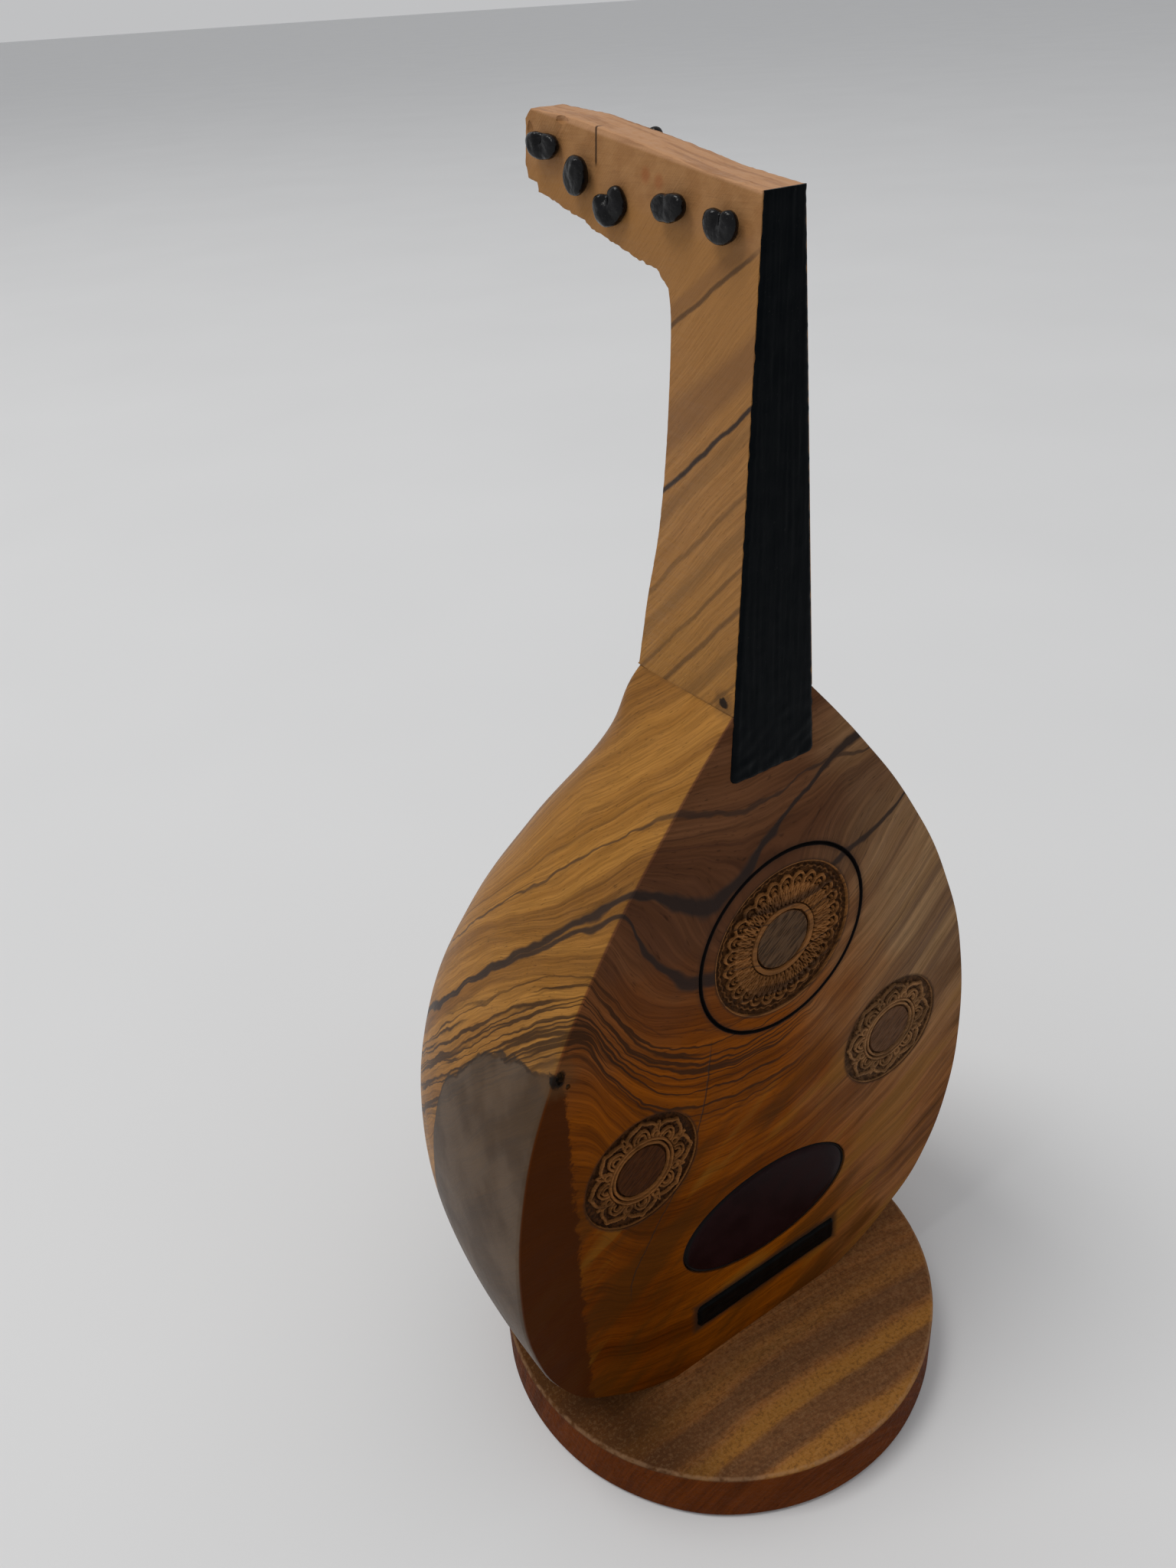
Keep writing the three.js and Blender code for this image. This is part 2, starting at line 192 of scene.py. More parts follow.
def olive_figure():
    """Olive wood: growth bands on bent planes, fine dark veins along them, fibres and pores."""
    tree, given, result = new_group(
        "olive figure",
        {
            "Place": ("NodeSocketVector", None),
            "Lean": ("NodeSocketVector", (0.0, 1.05, 1.0)),
            "Bend": ("NodeSocketFloat", 0.02),
            "Bend centre": ("NodeSocketFloat", 2.0),
            "Bend reach": ("NodeSocketFloat", 100.0),
            "Spacing": ("NodeSocketFloat", 3.0),
            "Wander": ("NodeSocketFloat", 1.0),
            "Veins": ("NodeSocketFloat", 1.0),
            "Bands": ("NodeSocketFloat", 1.0),
            "Pale": ("NodeSocketColor", (0.5, 0.27, 0.1, 1)),
            "Mid": ("NodeSocketColor", (0.36, 0.17, 0.06, 1)),
            "Grey": ("NodeSocketColor", (0.16, 0.1, 0.06, 1)),
            "Vein colour": ("NodeSocketColor", (0.03, 0.02, 0.018, 1)),
        },
        {
            "Colour": "NodeSocketColor",
            "Height": "NodeSocketFloat",
            "Fibre": "NodeSocketFloat",
            "Vein mask": "NodeSocketFloat",
        },
    )
    place = given.outputs["Place"]
    split = add(tree, "ShaderNodeSeparateXYZ", {0: place})
    across = calc(tree, "SUBTRACT", split.outputs[0], given.outputs["Bend centre"])
    across = calc(tree, "TANH", calc(tree, "DIVIDE", across, given.outputs["Bend reach"]))
    across = calc(tree, "MULTIPLY", across, given.outputs["Bend reach"])
    steeper = calc(tree, "MULTIPLY_ADD", calc(tree, "LESS_THAN", across, 0.0), 0.5, 1.0)
    bowed = calc(tree, "MULTIPLY", calc(tree, "MULTIPLY", across, across), given.outputs["Bend"])
    plane = add(tree, "ShaderNodeVectorMath", {0: place, 1: given.outputs["Lean"]}, operation="DOT_PRODUCT")
    field = calc(tree, "SUBTRACT", plane.outputs["Value"], calc(tree, "MULTIPLY", bowed, steeper))
    for scale, reach, detail in ((0.035, 8.0, 2.0), (0.15, 2.2, 1.0), (0.6, 0.35, 1.0)):
        drift = calc(tree, "SUBTRACT", speckle(tree, place, scale, detail), 0.5)
        drift = calc(tree, "MULTIPLY", calc(tree, "MULTIPLY", drift, reach), given.outputs["Wander"])
        field = calc(tree, "ADD", field, drift)
    ring = calc(tree, "DIVIDE", field, given.outputs["Spacing"])
    along = calc(tree, "SUBTRACT", split.outputs[1], split.outputs[2])

    def streak(ring_scale, long_scale):
        parts = {
            0: calc(tree, "MULTIPLY", ring, ring_scale),
            1: calc(tree, "MULTIPLY", split.outputs[0], long_scale),
            2: calc(tree, "MULTIPLY", along, long_scale),
        }
        return add(tree, "ShaderNodeCombineXYZ", parts).outputs[0]

    def line(ring_scale, long_scale, width, detail):
        value = speckle(tree, streak(ring_scale, long_scale), 1.0, detail, 0.45)
        distance = calc(tree, "ABSOLUTE", calc(tree, "SUBTRACT", value, 0.5))
        return fade(tree, distance, width * 0.25, width, 1.0, 0.0)

    broad = speckle(tree, streak(0.38, 0.006), 1.0, 2.0, 0.55)
    narrow = speckle(tree, streak(1.5, 0.02), 1.0, 3.0, 0.6)
    fibre = speckle(tree, streak(9.0, 0.12), 1.0, 2.0, 0.6)
    ticks = speckle(tree, streak(16.0, 0.9), 1.0, 1.0, 0.5)
    patch = speckle(tree, place, 0.05, 2.0)
    colour = tint(tree, fade(tree, narrow, 0.36, 0.66), given.outputs["Pale"], given.outputs["Mid"])
    banded = calc(tree, "MULTIPLY", fade(tree, broad, 0.5, 0.68), given.outputs["Bands"])
    colour = tint(tree, banded, colour, given.outputs["Grey"])
    colour = tint(tree, fade(tree, patch, 0.35, 0.7, 0.0, 0.35), colour, given.outputs["Mid"])
    gate = fade(tree, speckle(tree, streak(0.3, 0.01), 1.0, 1.0), 0.47, 0.6)
    bold = calc(tree, "MULTIPLY", line(0.85, 0.012, 0.035, 1.0), gate)
    thin = calc(tree, "MULTIPLY", line(2.1, 0.02, 0.05, 2.0), fade(tree, broad, 0.42, 0.6, 0.15, 0.75))
    vein = calc(tree, "MAXIMUM", bold, calc(tree, "MULTIPLY", thin, 0.6))
    vein = calc(tree, "MULTIPLY", vein, given.outputs["Veins"], clamp=True)
    colour = tint(tree, calc(tree, "MULTIPLY", vein, 0.85), colour, given.outputs["Vein colour"])
    worn = fade(tree, fibre, 0.3, 0.7, 0.8, 1.14)
    worn = calc(tree, "MULTIPLY", worn, fade(tree, ticks, 0.62, 0.78, 1.0, 0.62))
    shaded = add(tree, "ShaderNodeVectorMath", {0: colour, "Scale": worn}, operation="SCALE").outputs[0]
    height = calc(tree, "SUBTRACT", calc(tree, "MULTIPLY", fibre, 0.6), calc(tree, "MULTIPLY", vein, 0.3))
    height = calc(tree, "SUBTRACT", height, fade(tree, ticks, 0.6, 0.8, 0.0, 0.5))
    tree.links.new(shaded, result.inputs["Colour"])
    tree.links.new(height, result.inputs["Height"])
    tree.links.new(fibre, result.inputs["Fibre"])
    tree.links.new(vein, result.inputs["Vein mask"])
    return tree


OLIVE = olive_figure()


def bare_material(name):
    """A material with its surface shader, and the place on the piece in millimetres."""
    material = bpy.data.materials.new(name)
    material.use_nodes = True
    tree = material.node_tree
    shader = tree.nodes["Principled BSDF"]
    where = add(tree, "ShaderNodeTexCoord").outputs["Object"]
    place = add(tree, "ShaderNodeMapping", {"Vector": where, "Scale": (1000, 1000, 1000)}).outputs[0]
    return material, tree, shader, place


def bump(tree, shader, height, strength, distance):
    inputs = {"Height": height, "Strength": strength, "Distance": distance}
    made = add(tree, "ShaderNodeBump", inputs)
    tree.links.new(made.outputs[0], shader.inputs["Normal"])


def foot_wood():
    """Straight bands across the disc, greyer than the body, its side redder and its rim rubbed pale."""
    material, tree, shader, place = bare_material("foot wood")
    figure = add(tree, "ShaderNodeGroup", node_tree=OLIVE)
    for key, value in {
        "Lean": (0.06, 1.0, 0.35), "Bend": -0.0022, "Bend centre": -8.0, "Spacing": 2.1, "Wander": 0.16,
        "Veins": 0.1, "Bands": 0.35, "Pale": (0.3, 0.115, 0.032, 1), "Mid": (0.23, 0.085, 0.024, 1),
        "Grey": (0.085, 0.045, 0.024, 1), "Vein colour": (0.04, 0.02, 0.012, 1),
    }.items():
        figure.inputs[key].default_value = value
    tree.links.new(place, figure.inputs["Place"])
    split = add(tree, "ShaderNodeSeparateXYZ", {0: place})
    mottle = speckle(tree, place, 1.1, 3.0, 0.65)
    sway = calc(tree, "MULTIPLY", calc(tree, "SUBTRACT", speckle(tree, place, 0.09, 3.0), 0.5), 2.6)
    bow = calc(tree, "POWER", calc(tree, "ADD", split.outputs[0], 8.0), 2.0)
    row = calc(tree, "ADD", calc(tree, "MULTIPLY_ADD", bow, 0.0022, split.outputs[1]), sway)
    row = calc(tree, "MULTIPLY_ADD", row, 1 / 64, 0.5, clamp=True)
    darker = curve_of(tree, FOOT_BANDS, 1.0, row)
    ochre = curve_of(tree, FOOT_OCHRE, 1.0, row)
    side = fade(tree, split.outputs[2], FOOT_TOP - 0.35, FOOT_TOP - 0.8)
    colour = tint(tree, fade(tree, mottle, 0.4, 0.62, 0.0, 0.3), figure.outputs["Colour"], (0.36, 0.17, 0.06))
    colour = tint(tree, calc(tree, "MULTIPLY", ochre, 0.7), colour, (0.34, 0.15, 0.026))
    colour = tint(tree, calc(tree, "MULTIPLY", darker, 0.68), colour, (0.085, 0.045, 0.026))
    # painted shadow: the top of the disc darkens towards its left edge, where the body's shade falls on it
    colour = tint(tree, fade(tree, split.outputs[0], -12.0, -25.0, 0.0, 0.75), colour, (0.04, 0.013, 0.004))
    flecks = speckle(tree, place, 2.3, 3.0, 0.7)
    colour = tint(tree, fade(tree, flecks, 0.5, 0.66, 0.0, 0.5), colour, (0.08, 0.036, 0.016))
    colour = tint(tree, fade(tree, flecks, 0.5, 0.36, 0.0, 0.1), colour, (0.46, 0.28, 0.14))
    ruddy = tint(tree, 1.0, figure.outputs["Colour"], (0.4, 0.24, 0.1), "MULTIPLY")
    colour = tint(tree, side, colour, ruddy)
    from_axis = add(tree, "ShaderNodeVectorMath", {0: place, 1: (0, FOOT_CENTRE_Y, 0)}, operation="SUBTRACT")
    flat = add(tree, "ShaderNodeVectorMath", {0: from_axis.outputs[0], 1: (1, 1, 0)}, operation="MULTIPLY")
    radius = add(tree, "ShaderNodeVectorMath", {0: flat.outputs[0]}, operation="LENGTH").outputs["Value"]
    rim = calc(tree, "MULTIPLY", fade(tree, radius, FOOT_RADIUS - 0.55, FOOT_RADIUS - 0.25),
               fade(tree, split.outputs[2], FOOT_TOP - 0.6, FOOT_TOP - 0.25))
    rim = calc(tree, "MULTIPLY", rim, fade(tree, speckle(tree, place, 0.9), 0.3, 0.55))
    colour = tint(tree, calc(tree, "MULTIPLY", rim, 0.35), colour, (0.34, 0.2, 0.11))
    tree.links.new(colour, shader.inputs["Base Color"])
    rough = fade(tree, mottle, 0.3, 0.7, 0.42, 0.6)
    tree.links.new(rough, shader.inputs["Roughness"])
    shader.inputs["Specular IOR Level"].default_value = 0.015
    height = calc(tree, "ADD", figure.outputs["Height"], calc(tree, "ADD", mottle, flecks))
    bump(tree, shader, height, 0.45, 0.0003)
    return material


def foot_profile():
    """Half section of the disc, from the screw hole round the rim and back."""
    top = FOOT_TOP
    worn = [(FOOT_RADIUS - 0.45 * (1 - math.sin(a)), top - 0.45 * (1 - math.cos(a)))
            for a in (i * math.pi / 12 for i in range(7))]
    lower = [(FOOT_RADIUS - 0.9 * (1 - math.cos(a)), 0.9 * (1 - math.sin(a)))
             for a in (i * math.pi / 12 for i in range(7))]
    return [(0.0, top)] + [(r, top) for r in (10, 20, 27)] + worn + lower + [(26, 0), (18, 0), (12, 0)]


def make_foot():
    points, faces = turned(foot_profile() + [(0.0, 0.0)], FOOT_TURNS, (0, FOOT_CENTRE_Y))
    uneven = []
    for x, y, z in points:
        lump = noise.noise(Vector((x * 0.09, y * 0.09, z * 0.2))) * 0.12
        away = Vector((x, y - FOOT_CENTRE_Y))
        if away.length > FOOT_RADIUS - 2:
            x += away.x / away.length * (lump - 0.08)
            y += away.y / away.length * (lump - 0.08)
        uneven.append((x, y, z))
    return place_mesh("foot_disc", uneven, faces, foot_wood(), 50)


def cut_away(piece, cutter):
    """Cuts one closed mesh out of another and drops the cutter."""
    cut = piece.modifiers.new("cut", "BOOLEAN")
    cut.operation = "DIFFERENCE"
    cut.solver = "EXACT"
    cut.object = cutter
    baked(piece)
    bpy.data.objects.remove(cutter)
    return piece


foot = make_foot()
bore = [(0, -1), (3.85, -1), (3.85, 0.95), (2.05, 2.85), (2.05, 9.5), (0, 9.5)]
foot = cut_away(foot, place_mesh("bore", *turned(bore, 48, (0, SCREW_Y)), foot.data.materials[0]))
finish_surface(foot, foot.data.materials[0], 50)
fix_to(foot, "oud", ["foot"])

# ---------------------------------------------------------------------------
# Foot screw
# One countersunk steel wood screw, driven up through the foot into the body.
# Its head sits just below the underside, with a little dust in the cross slot.
# ---------------------------------------------------------------------------


def screw_steel():
    material, tree, shader, place = bare_material("screw steel")
    grime = speckle(tree, place, 1.3, 3.0, 0.6)
    colour = tint(tree, fade(tree, grime, 0.4, 0.7), (0.55, 0.54, 0.52), (0.3, 0.28, 0.25))
    tree.links.new(colour, shader.inputs["Base Color"])
    tree.links.new(fade(tree, grime, 0.3, 0.7, 0.28, 0.5), shader.inputs["Roughness"])
    shader.inputs["Metallic"].default_value = 1.0
    bump(tree, shader, grime, 0.15, 0.0001)
    return material


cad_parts["foot_screw"].material_slots[0].material = screw_steel()

# ---------------------------------------------------------------------------
# Body
# One block of olive wood: a deep bowl carved at the back and planed flat in front.
# The ring, the sinkings for the rosettes and the seat of the oval are cut into the flat.
# ---------------------------------------------------------------------------
BODY_HEIGHT = 96.0
BODY_HALF_WIDTH = 35.8
BODY_DEPTH = 44.5
BODY_STATIONS = [
    (0, 14.6, 31.0), (5, 24.4, 37.0), (12, 31.2, 41.8), (22, 34.9, 44.2), (32, 35.8, 44.4),
    (48, 34.0, 41.4), (62, 29.2, 35.6), (75, 22.0, 27.8), (87, 13.0, 19.6), (96, 5.22, 15.2),
]
SIDE_SQUARENESS = 3.6
BACK_SQUARENESS = 2.5
JOINT_SQUARENESS = 26.0
RIDGE_WEAR = 0.22
ART_X = 2.4
ART_TURN = 0.035
ROSETTE_HEIGHT = 64.8
ROSETTE_RADIUS = 10.0
RING_RADIUS = 12.05
SMALL_OFFSET = 20.0
SMALL_HEIGHT = 41.1
SMALL_RADIUS = 8.0
GUARD_HEIGHT = 21.9
GUARD_HALF_WIDTH = 13.7
GUARD_HALF_HEIGHT = 7.6
INLAY_DEPTH = 1.1
BAR_X = 1.2
BAR_HEIGHT = 9.05
BAR_HALF = (12.0, 1.95)
GRAIN_SLOPE = 1.05


def art_place(across, height):
    """Where a mark of the cut work falls on the front, as X and height above the foot."""
    turn = Matrix.Rotation(-ART_TURN, 2)
    x, z = turn @ Vector((across, height - ROSETTE_HEIGHT))
    return x + ART_X, z + ROSETTE_HEIGHT


def art_matrix(across, height):
    """Lays a flat carving drawn in X and Z at its place on the front."""
    x, z = art_place(across, height)
    move = Matrix.Translation(Vector((x, FRONT_Y, z + FOOT_TOP)) * MM)
    return move @ Matrix.Rotation(ART_TURN, 4, "Y")


def bowl_tree():
    """The bowl as four sheets on one rule: back, flat front, foot end and neck end."""
    tree, given, result = new_group(
        "carved bowl",
        {
            "Height": ("NodeSocketFloat", BODY_HEIGHT),
            "Half width": ("NodeSocketFloat", BODY_HALF_WIDTH),
            "Depth": ("NodeSocketFloat", BODY_DEPTH),
            "Side squareness": ("NodeSocketFloat", SIDE_SQUARENESS),
            "Back squareness": ("NodeSocketFloat", BACK_SQUARENESS),
            "Ridge wear": ("NodeSocketFloat", RIDGE_WEAR),
            "Columns": ("NodeSocketInt", 130),
            "Rows": ("NodeSocketInt", 170),
            "Wood": ("NodeSocketMaterial", None),
        },
        {"Geometry": "NodeSocketGeometry"},
        "GeometryNodeTree",
    )
    sheets = add(tree, "GeometryNodeJoinGeometry")
    for kind in ("back", "front", "foot end", "neck end"):
        rows = given.outputs["Rows"] if kind in ("back", "front") else 24
        grid = add(tree, "GeometryNodeMeshGrid", {
            "Size X": 1.0, "Size Y": 1.0, "Vertices X": given.outputs["Columns"], "Vertices Y": rows})
        spot = add(tree, "ShaderNodeSeparateXYZ", {0: add(tree, "GeometryNodeInputPosition").outputs[0]})
        round_share = calc(tree, "ADD", spot.outputs[0], 0.5, clamp=True)
        crowding = calc(tree, "SINE", calc(tree, "MULTIPLY", round_share, 2 * math.pi))
        round_share = calc(tree, "MULTIPLY_ADD", crowding, -0.9 / (2 * math.pi), round_share)
        other_share = calc(tree, "ADD", spot.outputs[1], 0.5, clamp=True)
        flatten = {"back": 1.0, "front": 0.0}.get(kind, other_share)
        rise = {"foot end": 0.0, "neck end": 1.0}.get(kind, None)
        if rise is None:
            rise = calc(tree, "POWER", other_share, 1.3)
        width = curve_of(tree, [(z, w) for z, w, _ in BODY_STATIONS], BODY_HALF_WIDTH, rise)
        depth = curve_of(tree, [(z, d) for z, _, d in BODY_STATIONS], BODY_DEPTH, rise)
        width = calc(tree, "MULTIPLY", width, given.outputs["Half width"])
        depth = calc(tree, "MULTIPLY", depth, given.outputs["Depth"])
        joint = calc(tree, "POWER", rise, 55.0)
        side = calc(tree, "MULTIPLY_ADD", joint, JOINT_SQUARENESS - SIDE_SQUARENESS, given.outputs["Side squareness"])
        back = calc(tree, "MULTIPLY_ADD", joint, JOINT_SQUARENESS - BACK_SQUARENESS, given.outputs["Back squareness"])
        angle = calc(tree, "MULTIPLY", round_share, math.pi)
        cosine = calc(tree, "COSINE", angle)
        reach = calc(tree, "POWER", calc(tree, "ABSOLUTE", cosine), calc(tree, "DIVIDE", 2.0, side))
        sine = calc(tree, "MAXIMUM", calc(tree, "SINE", angle), 0.0)
        sink = calc(tree, "POWER", sine, calc(tree, "DIVIDE", 2.0, back))
        at_ridge = calc(tree, "LESS_THAN", sine, 1e-4)
        inset = calc(tree, "MAXIMUM", at_ridge, calc(tree, "SUBTRACT", 1.0, flatten))
        x = calc(tree, "MULTIPLY_ADD", inset, calc(tree, "MULTIPLY", given.outputs["Ridge wear"], -1.0), width)
        x = calc(tree, "MULTIPLY", x, reach)
        x = calc(tree, "MULTIPLY", x, calc(tree, "SIGN", cosine))
        lift = calc(tree, "MULTIPLY_ADD", at_ridge, -1.0, 1.0)
        y = calc(tree, "MULTIPLY", sink, calc(tree, "SUBTRACT", depth, given.outputs["Ridge wear"]))
        y = calc(tree, "MULTIPLY_ADD", lift, given.outputs["Ridge wear"], y)
        y = calc(tree, "MULTIPLY", y, flatten)
        z = calc(tree, "MULTIPLY", rise, given.outputs["Height"])
        shift = [calc(tree, "MULTIPLY", v, MM) for v in (x, calc(tree, "ADD", y, FRONT_Y), calc(tree, "ADD", z, FOOT_TOP))]
        spread = add(tree, "ShaderNodeCombineXYZ", dict(enumerate(shift)))
        moved = add(tree, "GeometryNodeSetPosition", {"Geometry": grid.outputs[0], "Position": spread.outputs[0]})
        tree.links.new(moved.outputs[0], sheets.inputs[0])
    whole = add(tree, "GeometryNodeMergeByDistance", {"Geometry": sheets.outputs[0], "Distance": 2e-6})
    real = add(tree, "GeometryNodeRealizeInstances", {0: whole.outputs[0]})
    dressed = add(tree, "GeometryNodeSetMaterial", {"Geometry": real.outputs[0], "Material": given.outputs["Wood"]})
    tree.links.new(dressed.outputs[0], result.inputs[0])
    return tree


def grown(name, tree, values, mesh=None):
    """A piece made by a geometry tree, with its inputs set by socket before it is first worked out."""
    piece = bpy.data.objects.new(name, mesh or bpy.data.meshes.new(name))
    bpy.context.scene.collection.objects.link(piece)
    modifier = piece.modifiers.new("shape", "NODES")
    modifier.node_group = tree
    for item in tree.interface.items_tree:
        if item.in_out == "INPUT" and item.name in values:
            modifier[item.identifier] = values[item.name]
    return baked(piece)


def mend(piece):
    """Welds seams, drops faces of no area and turns every face outwards."""
    shell = bmesh.new()
    shell.from_mesh(piece.data)
    bmesh.ops.remove_doubles(shell, verts=shell.verts, dist=2e-6)
    bmesh.ops.dissolve_degenerate(shell, dist=1e-7, edges=shell.edges)
    bmesh.ops.recalc_face_normals(shell, faces=shell.faces)
    shell.to_mesh(piece.data)
    shell.free()
    return piece


def prism(outline, front, back, matrix):
    """A closed straight-sided block: an outline in X and Z between two depths."""
    count = len(outline)
    points = [matrix @ (Vector((x, front, z)) * MM) / MM for x, z in outline]
    points += [matrix @ (Vector((x, back, z)) * MM) / MM for x, z in outline]
    faces = [tuple(range(count)), tuple(reversed(range(count, 2 * count)))]
    faces += [(i, (i + 1) % count, count + (i + 1) % count, count + i) for i in range(count)]
    return points, faces


def oval(half_width, half_height, steps):
    return [(half_width * math.cos(2 * math.pi * i / steps), half_height * math.sin(2 * math.pi * i / steps))
            for i in range(steps)]


def joined(parts):
    """Several lists of points and faces as one."""
    points, faces = [], []
    for some_points, some_faces in parts:
        start = len(points)
        points += some_points
        faces += [tuple(start + i for i in face) for face in some_faces]
    return points, faces


def ring_cutter():
    """A V-shaped groove for the thin burnt ring."""
    matrix = art_matrix(0, ROSETTE_HEIGHT)
    section = [(-0.42, -0.3), (0.42, -0.3), (0.0, 0.34)]
    steps = 160
    points = []
    for i in range(steps):
        angle = 2 * math.pi * i / steps
        for out, deep in section:
            radius = RING_RADIUS + out
            spot = Vector((radius * math.cos(angle), deep, radius * math.sin(angle))) * MM
            points.append(matrix @ spot / MM)
    faces = []
    for i in range(steps):
        j = (i + 1) % steps
        for k in range(3):
            faces.append((i * 3 + k, j * 3 + k, j * 3 + (k + 1) % 3, i * 3 + (k + 1) % 3))
    return points, faces


def pit(centre, size, seed):
    """A ragged little hole where a knot has fallen out."""
    ball = bmesh.new()
    bmesh.ops.create_icosphere(ball, subdivisions=3, radius=1.0)
    points = []
    for v in ball.verts:
        lump = 1 + 0.3 * noise.noise(v.co * 1.7 + Vector((seed, 0, 0)))
        points.append([c + s * n * lump for c, s, n in zip(centre, size, v.co)])
    faces = [tuple(v.index for v in face.verts) for face in ball.faces]
    ball.free()
    return points, faces


def body_cutters():
    parts = [ring_cutter()]
    parts.append(prism(oval(ROSETTE_RADIUS, ROSETTE_RADIUS, 208), -1, INLAY_DEPTH, art_matrix(0, ROSETTE_HEIGHT)))
    for side in (-1, 1):
        matrix = art_matrix(side * SMALL_OFFSET, SMALL_HEIGHT)
        parts.append(prism(oval(SMALL_RADIUS, SMALL_RADIUS, 192), -1, INLAY_DEPTH, matrix))
    guard = oval(GUARD_HALF_WIDTH + 0.12, GUARD_HALF_HEIGHT + 0.12, 144)
    parts.append(prism(guard, -1, INLAY_DEPTH + 0.2, art_matrix(0, GUARD_HEIGHT)))
    parts.append(pit((-28.2, FRONT_Y, FOOT_TOP + 62.3), (0.55, 0.9, 0.8), 3.0))
    parts.append(pit((-27.3, FRONT_Y, FOOT_TOP + 60.6), (0.3, 0.5, 0.4), 9.0))
    return joined(parts)


# bold dark veins: where each crosses the front, how wide and how dark it is
BOLD_VEINS = [
    ([(-40, 81), (-18, 80.6), (-13, 77.6), (-8.5, 74.6), (-6, 75), (-3, 77.2), (0, 80), (5, 83.8), (10, 87), (14, 88),
      (40, 97)], 1.3, 1.0),
    ([(-40, 79.2), (-20, 79), (-17, 73.5), (-14, 68.5), (-10, 65.3), (-5, 64.3), (0, 66.5), (6, 70.3), (10, 72.2),
      (16, 74), (21.5, 77.5), (40, 90)], 1.05, 0.95),
    ([(-40, 93), (-13, 88.2), (-8, 86), (-4, 84.7), (2, 85.2), (8, 86.3), (16, 85), (40, 92)], 0.5, 0.7),
]
# the run of the flame of thin lines between the ridge and the middle of the front
FLAME_PATH = [(-40, 71), (-26, 70.5), (-22, 64), (-18, 57.5), (-13, 53), (-8, 50.8), (0, 49.5), (6, 50.5), (12, 54),
              (20, 60), (40, 80)]


def vein_path(tree, place_x, path, span=40.0, top=100.0):
    """The height of a vein where it crosses the front at X, from a few points along it."""
    share = calc(tree, "MULTIPLY_ADD", place_x, 0.5 / span, 0.5, clamp=True)
    shares = [((x + span), z) for x, z in path]
    return calc(tree, "MULTIPLY", curve_of(tree, shares, top, share), top)


# a small black knot on the left ridge, just at the joint with the neck
RIDGE_KNOT = (-5.3, FRONT_Y + 1.4, FOOT_TOP + 96.9)
# a knot that has fallen out of the ridge, at the top corner of the dark heart
FALLEN_KNOT = (-28.5, FRONT_Y, FOOT_TOP + 62.2)


def knotted(tree, place, colour, centre, size):
    """A small black knot with a soft brown border."""
    away = add(tree, "ShaderNodeVectorMath", {0: place, 1: centre}, operation="DISTANCE").outputs["Value"]
    away = calc(tree, "ADD", away, calc(tree, "MULTIPLY", calc(tree, "SUBTRACT", speckle(tree, place, 1.1, 2.0), 0.5), size))
    colour = tint(tree, fade(tree, away, size * 0.9, size * 2.2, 0.5, 0.0), colour, (0.1, 0.05, 0.02))
    return tint(tree, fade(tree, away, size * 0.5, size * 0.8, 0.95, 0.0), colour, (0.008, 0.006, 0.005))


def aslant(tree, place, angle, scale):
    """The place turned in the plane of the front and then squeezed, for streaks that lean."""
    leaning = add(tree, "ShaderNodeVectorRotate", {"Vector": place, "Angle": angle}, rotation_type="Y_AXIS")
    return add(tree, "ShaderNodeMapping", {"Vector": leaning.outputs[0], "Scale": scale}).outputs[0]


